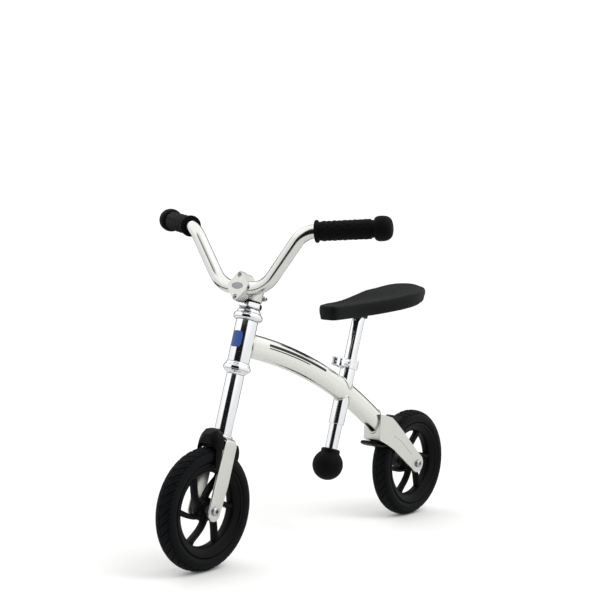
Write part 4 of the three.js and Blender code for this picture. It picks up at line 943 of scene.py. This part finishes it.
def frame_tube_surface():
    """The oval section carried along the arc, mitred to the head tube and domed at its end."""
    side, off, _ = tube_section(56, 0)
    first = head_slope(off, side, HEAD_TUBE_RADIUS - 0.9)
    share = np.linspace(0, 1, 120)[:, None]
    slope = first + share * (arc.end - first)
    body = arc.point(slope, off, side)
    swell = np.linspace(0, TAU / 4, 8)[1:, None]
    shrink = np.cos(swell)
    dome = arc.point(arc.end + 7 / arc.radius * np.sin(swell), off * shrink, side * shrink)
    inset = np.array([0.04, 0.3, 0.6, 0.85])[:, None]
    mitre = head_slope(off * inset, side * inset, HEAD_TUBE_RADIUS - 0.9)
    grid = np.concatenate([arc.point(mitre, off * inset, side * inset), body, dome])
    length = (arc.end - FRAME_START) * arc.radius * MM
    return sheet(capped(grid), False, extent=(length, 0.11))


def frame_head_weld(radius):
    side, off, _ = tube_section(120, 0.3)
    path = arc.point(head_slope(off, side, HEAD_TUBE_RADIUS + 0.4), off, side)
    return bead(path, radius, 46)


def frame_seat_weld(radius, over):
    """The line where the seat tube's wall meets the frame tube's upper or lower side."""
    turn = full_turn(100)
    reach = SEAT_TUBE_RADIUS + 0.3
    side = reach * np.sin(turn)
    off = over * FRAME_HALF_HEIGHT * np.sqrt(np.clip(1 - (side / FRAME_HALF_WIDTH) ** 2, 0, 1))
    forward, up = SEAT.axes[0], SEAT.axes[2]
    foot = SEAT.origin / MM + (reach * np.cos(turn))[:, None] * forward - arc.centre
    along = foot @ up
    height = -along + np.sqrt(along ** 2 - (foot ** 2).sum(1) + (arc.radius + off) ** 2)
    path = arc.centre + foot + height[:, None] * up + side[:, None] * np.array([0, 1, 0])
    return bead(path, radius, 40)


def yoke_weld(radius):
    """A bead round the frame tube where it enters the yoke."""
    side, off, turn = tube_section(120, 0.4)
    path = arc.point(arc.end - (22 + 7 * np.sin(turn)) / arc.radius, off, side)
    return bead(path, radius, 50)


class OBJECT_OT_bike_frame(bpy.types.Operator):
    """Oval frame tube with its welds and plain printed stripes"""
    bl_idname = "object.bike_frame"
    bl_label = "Frame tube"

    def execute(self, context):
        weld = context.scene.bike_sizes.weld_radius / MM
        tube = surface("frame_tube_brushed", [frame_tube_surface()], BIKE, "frame", "brushed",
                       ("frame_tube",), sharp=60)
        drill(tube, SEAT, SEAT_TUBE_RADIUS - 0.4, 60, 200)
        beads = [frame_head_weld(weld), *(frame_seat_weld(weld * 0.8, k) for k in (1, -1))]
        surface("frame_welds", beads, BIKE, "frame", "blasted")

        for name, side in (("left", 1), ("right", -1)):
            def on_tube(turn, height, off):
                wide, high = FRAME_HALF_WIDTH + off, FRAME_HALF_HEIGHT + off
                return arc.point(height, high * np.sin(turn), side * wide * np.cos(turn))

            stripes = [film_patch(on_tube, low, high, math.radians(15), math.radians(end), 9)
                       for low, high, end in ((0.3, 0.54, 25), (0.12, 0.2, 22))]
            surface(f"frame_stripes_{name}", stripes, BIKE, "frame", "stripe")
        return {"FINISHED"}


# ---- the rear yoke

def rear_liner():
    """A liner that follows the tyre and bends forward into a lip; its width narrows to the tip."""
    turn = np.radians(np.linspace(64, 31, 16))
    over = 104.2 * np.stack([np.cos(turn), np.sin(turn)], 1)
    lip = np.array([(94.5, 47.6), (104, 45.4), (118, 48), (130, 53), (135, 56.4)])
    line = even_line(smooth_line(np.vstack([over[::5], over[-1:], lip]), 300), 60)
    path = np.stack([line[:, 0], 0 * line[:, 0], line[:, 1]], 1)
    share = np.linspace(0, 1, 60)
    half = 19.8 - 1.2 * share
    tip = np.sqrt(np.clip(1 - np.clip((share - 0.86) / 0.14, 0, 1) ** 2, 0.002, 1))
    half = half * (0.42 + 0.58 * tip)
    thick = 1.2 + 1.7 * np.clip((share - 0.42) / 0.25, 0, 1) * (0.35 + 0.65 * tip)
    section = rounded([(-1, -1, 0.5), (-0.97, 1, 0.5), (0.97, 1, 0.5), (1, -1, 0.5)], 4)
    return swept(path, (0, 1, 0), section[None] * np.stack([half, thick], 1)[:, None])


class OBJECT_OT_bike_yoke(bpy.types.Operator):
    """Rear yoke, its weld and the liner over the rear tyre"""
    bl_idname = "object.bike_yoke"
    bl_label = "Rear yoke"

    def execute(self, context):
        weld = context.scene.bike_sizes.weld_radius / MM
        eased_copy("rear_yoke", "frame", "blasted", 2.0, 28, 3)
        surface("yoke_weld", [yoke_weld(weld * 0.8)], BIKE, "frame", "blasted")
        line = smooth_line([(79, 62), (62, 53), (41, 37), (21, 19.5)], 40)
        wall = np.full(len(line), YOKE_HALF_WIDTH + 0.1)
        ribs = [swept(np.stack([line[:, 0], side * wall, line[:, 1]], 1), (0, 1, 0),
                      circle(0.55, 10)) for side in (1, -1)]
        surface("yoke_ribs", ribs, REAR, "frame", "blasted")
        surface("rear_fender_liner", [rear_liner()], REAR, "frame", "plastic",
                ("rear_fender",), sharp=50)
        eased_copy("rear_fender_screw", "frame", "steel", 0.3)
        return {"FINISHED"}


# ---- seat and saddle

class OBJECT_OT_bike_seat_post(bpy.types.Operator):
    """Seat tube, collar with its quick-release lever, post and foot ball"""
    bl_idname = "object.bike_seat_post"
    bl_label = "Seat post"

    def execute(self, context):
        surface("seat_tube_polished", [turned([
            (11.4, SEAT_TUBE_BOTTOM, 0.3), (SEAT_TUBE_RADIUS, SEAT_TUBE_BOTTOM, 0.7),
            (SEAT_TUBE_RADIUS, SEAT_TUBE_TOP, 0.5), (11.4, SEAT_TUBE_TOP, 0.3)])], SEAT, "frame",
            "polished", ("seat_tube",))
        surface("seat_post_polished", [turned([
            (9.3, -6, 0.2), (POST_RADIUS, -6, 0.5), (POST_RADIUS, POST_TOP, 0.5),
            (9.3, POST_TOP, 0.3)])],
            SEAT, "seat_set", "polished", ("seat_post",))
        surface("foot_ball_moulding", [turned(self.ball(), 72, 3)], SEAT, "seat_set", "grip",
                ("foot_ball",), sharp=50)
        surface("ball_collar_turned", [turned([
            (11.4, BALL_COLLAR_SEAT, 0.2), (BALL_COLLAR_RADIUS, BALL_COLLAR_SEAT, 0.3),
            (BALL_COLLAR_RADIUS, BALL_COLLAR_TOP - 1.8, 1.6), (14.8, BALL_COLLAR_TOP, 0.8),
            (11.4, BALL_COLLAR_TOP, 0.3)])], SEAT, "seat_set", "plastic", ("ball_collar",))
        for name, width in (("seat_collar", 0.6), ("skewer_nut", 0.9)):
            eased_copy(name, "frame", "polished", width)
        eased_copy("cam_lever", "clamp_lever", "blasted", 0.9, 35, 3)
        for name, body in (("cam_pin", "clamp_lever"), ("post_screw", "seat_set")):
            eased_copy(name, body, "steel", 0.2)
        return {"FINISHED"}

    @staticmethod
    def ball():
        """A sphere's arc from under the post's foot to the collar's recess."""
        angle = np.linspace(-TAU / 4, math.asin(20 / BALL_RADIUS), 40)
        arc_points = [(BALL_RADIUS * math.cos(a), BALL_RADIUS * math.sin(a), 0.1) for a in angle]
        return [*arc_points, (17.3, 21.2, 0.3), (17.3, 18, 0.2), (11.4, 18, 0.2),
                (11.4, -6.3, 0.2), (0, -6.3, 0)]


def saddle_surface(crown):
    """Rings drawn in from the plan outline towards a spine down the middle. Over the top they
    rise to the crown; past the crease they drop down the skirt, turn under and close."""
    low, high = corner_box("saddle_cushion")
    nose, length = high[0] / MM, SADDLE_LENGTH
    half = [(0, 0), (0.6, 9), (3, 16), (9, 20.2), (22, 22), (52, 25.5), (90, 33), (130, 43.5),
            (168, 51.5), (200, 54), (228, 50.5), (248, 39), (259, 22), (length, 0)]
    outline = even_loop(half + mirrored(half[1:-1]), 900, 240)
    x, y = nose - outline[:, 0], outline[:, 1]
    spine = np.clip(x, nose - length + 48, nose - 16)
    out = np.stack([x - spine, y], 1)
    reach = np.linalg.norm(out, axis=1)
    out = out / reach[:, None]
    depth = SADDLE_DEPTH
    inward = np.linspace(0, 1, 22) ** 0.8
    over = [(share, 6.5, crown * (1 - share ** 2.2)) for share in inward]
    skirt = [(5.0, -0.15), (3.6, -0.5), (2.4, -1.1), (1.5, -1.9), (0.9, -3.0), (0.3, -5), (0, -9),
             (0.4, -14), (1.4, -18), (2.6, 1.6 - depth), (3.3, 0.5 - depth), (4.4, -depth),
             (5.6, 0.3 - depth), (6.2, 1.2 - depth), (6.2, 4.9 - depth)]
    edge = [(1, inset, rise) for inset, rise in skirt]
    under = [(share, 6.2, 5.1 - depth) for share in (0.8, 0.5, 0.2, 0)]
    rows = np.array(over + edge + under)
    share, inset, rise = rows[:, 0, None], rows[:, 1, None], rows[:, 2, None]
    far = share * np.maximum(reach - inset, 0.5)
    px, py = spine + out[:, 0] * far, out[:, 1] * far
    along = np.clip((nose - px) / length, 0, 1)
    top = NOSE_TOP + SADDLE_RISE * (0.3 * along + 0.7 * along ** 2.4)
    dish = -1.6 * np.exp(-((along - 0.72) / 0.16) ** 2) * np.exp(-(py / 17) ** 2) * (rise > -0.1)
    tail = np.clip((along - 0.7) / 0.25, 0, 1)
    soft = 5.5 * tail * share ** 6 * np.clip(1 + (rise + 3) / 16, 0, 1)
    return sheet(np.stack([px, py, top + rise + dish - soft], -1), False, extent=(0.2, 0.6))


NOSE_TOP = SEAT.millimetres((0, 0, POST_TOP))[2] + 12.7


class OBJECT_OT_bike_saddle(bpy.types.Operator):
    """One-piece foam saddle over its base plate"""
    bl_idname = "object.bike_saddle"
    bl_label = "Saddle"

    def execute(self, context):
        crown = context.scene.bike_sizes.saddle_crown / MM
        saddle = surface("saddle_foam_skin", [saddle_surface(crown)], BIKE, "seat_set", "saddle",
                         ("saddle_cushion",), sharp=60)
        eased_copy("saddle_base", "seat_set", "plastic", 0.5)
        for name in ("front", "rear"):
            eased_copy(f"saddle_screw_{name}", "seat_set", "steel", 0.25)
        return {"FINISHED"}


# ---- inner pieces and stage

class OBJECT_OT_bike_inner_pieces(bpy.types.Operator):
    """Steel finish on the bearings, sleeves, spacers and tubes inside"""
    bl_idname = "object.bike_inner_pieces"
    bl_label = "Inner pieces"

    def execute(self, context):
        for node in frame["nodes"].values():
            if not node.hide_render:
                node.material_slots[0].material = finishes["steel"]
        return {"FINISHED"}


CAMERA_PLACE = (1.8804, 1.4966, 0.6036)
CAMERA_YAW, CAMERA_PITCH, CAMERA_ROLL = -140.625, 5.87, 1.23
CAMERA_LENS = 83.5
CAMERA_SHIFT = (0.0043, 0.0624)
LIGHT_TARGET = (0, 0, 0.3)
FLOOR_RADIUS = 0.95
FAR_SIDE = (-0.773, -0.634, 0.03)
DARK_FROM, DARK_TO, DARK_EDGE = (math.radians(angle) for angle in (-10, 60, 4))
FAR_FROM, FAR_TO = (math.cos(math.radians(angle)) for angle in (44, 26))
WHITE_SEEN = 1.06
WHITE_REFLECTED = (1.3, 1.75)
DARK_REFLECTED = 0.01


def studio_world():
    """White all round for the eye and for soft light. Glossy surfaces also see a dark room
    behind the camera and below the edge of the floor, which draws the lines in the metal."""
    world = bpy.data.worlds.new("white studio")
    world.use_nodes = True
    world.cycles.sampling_method = "NONE"
    tree = world.node_tree
    tree.nodes.clear()
    at = add(tree, "ShaderNodeTexCoord")
    split = add(tree, "ShaderNodeSeparateXYZ", {"Vector": at.outputs["Generated"]})
    x, y, z = (split.outputs[k] for k in range(3))

    def maths(operation, a, b):
        return add(tree, "ShaderNodeMath", {0: a, 1: b}, operation=operation)

    azimuth = maths("ARCTAN2", y, x)
    ahead = add(tree, "ShaderNodeVectorMath", {0: at.outputs["Generated"], 1: FAR_SIDE},
                operation="DOT_PRODUCT").outputs["Value"]
    enter, leave, under_lamps, far, below = (
        add(tree, "ShaderNodeMapRange", {"Value": value, "From Min": low, "From Max": high},
            interpolation_type="SMOOTHSTEP")
        for value, low, high in (
            (azimuth, DARK_FROM - DARK_EDGE, DARK_FROM + DARK_EDGE),
            (azimuth, DARK_TO + DARK_EDGE, DARK_TO - DARK_EDGE),
            (z, 0.92, 0.5),
            (ahead, FAR_FROM, FAR_TO),
            (z, -0.3, -0.37)))
    room = maths("MULTIPLY", maths("MULTIPLY", enter, leave), under_lamps)
    dark = maths("MAXIMUM", maths("MAXIMUM", room, below), far)
    glossy = add(tree, "ShaderNodeLightPath").outputs["Is Glossy Ray"]
    rising = add(tree, "ShaderNodeMapRange", {
        "Value": z, "From Min": 0.0, "From Max": 0.55, "To Min": WHITE_REFLECTED[0],
        "To Max": WHITE_REFLECTED[1]})
    bright = add(tree, "ShaderNodeMapRange", {
        "Value": glossy, "To Min": WHITE_SEEN, "To Max": rising})
    shade = add(tree, "ShaderNodeMapRange", {
        "Value": maths("MULTIPLY", dark, glossy), "To Min": 1.0, "To Max": DARK_REFLECTED})
    background = add(tree, "ShaderNodeBackground", {
        "Color": (1, 1, 1, 1), "Strength": maths("MULTIPLY", bright, shade)})
    add(tree, "ShaderNodeOutputWorld", {"Surface": background})
    return world


def area_light(name, place, size, power):
    """A square lamp that looks at the middle of the bike."""
    data = bpy.data.lights.new(name, "AREA")
    data.shape, data.size, data.size_y, data.energy = "RECTANGLE", size, size, power
    light = bpy.data.objects.new(name, data)
    aim = unit(np.array(LIGHT_TARGET) - np.array(place))
    light.rotation_euler = Vector(aim).to_track_quat("-Z", "Y").to_euler()
    light.location = place
    bpy.context.scene.collection.objects.link(light)


def camera_turn():
    """Rotation whose columns are the camera's right, up and backward directions."""
    yaw, pitch, roll = (math.radians(a) for a in (CAMERA_YAW, CAMERA_PITCH, CAMERA_ROLL))
    level = math.cos(pitch)
    ahead = np.array([math.cos(yaw) * level, math.sin(yaw) * level, -math.sin(pitch)])
    right = unit(np.cross(ahead, (0, 0, 1)))
    up = np.cross(right, ahead)
    tilted_right = math.cos(roll) * right + math.sin(roll) * up
    tilted_up = math.cos(roll) * up - math.sin(roll) * right
    return np.stack([tilted_right, tilted_up, -ahead], 1)


class OBJECT_OT_bike_stage(bpy.types.Operator):
    """Pale floor, soft lights, white surroundings and the camera"""
    bl_idname = "object.bike_stage"
    bl_label = "Stage"

    def execute(self, context):
        turn = full_turn(128)
        radii = np.linspace(0, FLOOR_RADIUS / MM, 12)[:, None]
        mesh = mesh_of("studio_floor", [sheet(around(radii, turn, -0.2), False)], BIKE)
        mesh.materials.append(finishes["floor"])
        floor = bpy.data.objects.new("studio_floor", mesh)
        context.scene.collection.objects.link(floor)
        context.scene.world = studio_world()
        area_light("soft_key", (-0.2, 1.9, 2.6), 1.6, 26)
        area_light("soft_fill", (-0.8, -2.2, 2.0), 1.4, 5)
        data = bpy.data.cameras.new("camera")
        data.lens, data.sensor_width = CAMERA_LENS, 36
        data.shift_x, data.shift_y = CAMERA_SHIFT
        camera = bpy.data.objects.new("camera", data)
        turned_to = Matrix(camera_turn().tolist()).to_4x4()
        camera.matrix_world = Matrix.Translation(CAMERA_PLACE) @ turned_to
        context.scene.collection.objects.link(camera)
        context.scene.camera = camera
        context.scene.view_settings.view_transform = "Standard"
        return {"FINISHED"}


class OBJECT_OT_bike_finishes(bpy.types.Operator):
    """Makes the materials of every piece"""
    bl_idname = "object.bike_finishes"
    bl_label = "Finishes"

    def execute(self, context):
        finishes.update(make_finishes(context.scene.bike_colours))
        return {"FINISHED"}


OPERATORS = (
    OBJECT_OT_bike_finishes, OBJECT_OT_bike_stage, OBJECT_OT_bike_wheels, OBJECT_OT_bike_fork,
    OBJECT_OT_bike_headset, OBJECT_OT_bike_stem, OBJECT_OT_bike_handlebar, OBJECT_OT_bike_frame,
    OBJECT_OT_bike_yoke, OBJECT_OT_bike_seat_post, OBJECT_OT_bike_saddle,
    OBJECT_OT_bike_inner_pieces)


class VIEW3D_PT_balance_bike(bpy.types.Panel):
    bl_label = "Balance bike"
    bl_idname = "VIEW3D_PT_balance_bike"
    bl_space_type = "VIEW_3D"
    bl_region_type = "UI"
    bl_category = "Balance bike"

    def draw(self, context):
        layout = self.layout
        for group in (context.scene.bike_sizes, context.scene.bike_colours):
            for name in group.__annotations__:
                layout.prop(group, name)
        for operator in OPERATORS:
            layout.operator(operator.bl_idname)


CLASSES = (BikeColours, BikeSizes, *OPERATORS, VIEW3D_PT_balance_bike)


def register():
    for cls in CLASSES:
        bpy.utils.register_class(cls)
    bpy.types.Scene.bike_colours = bpy.props.PointerProperty(type=BikeColours)
    bpy.types.Scene.bike_sizes = bpy.props.PointerProperty(type=BikeSizes)


def unregister():
    del bpy.types.Scene.bike_sizes
    del bpy.types.Scene.bike_colours
    for cls in reversed(CLASSES):
        bpy.utils.unregister_class(cls)


def main():
    register()
    for operator in OPERATORS:
        group, name = operator.bl_idname.split(".")
        getattr(getattr(bpy.ops, group), name)()


if __name__ == "__main__":
    main()
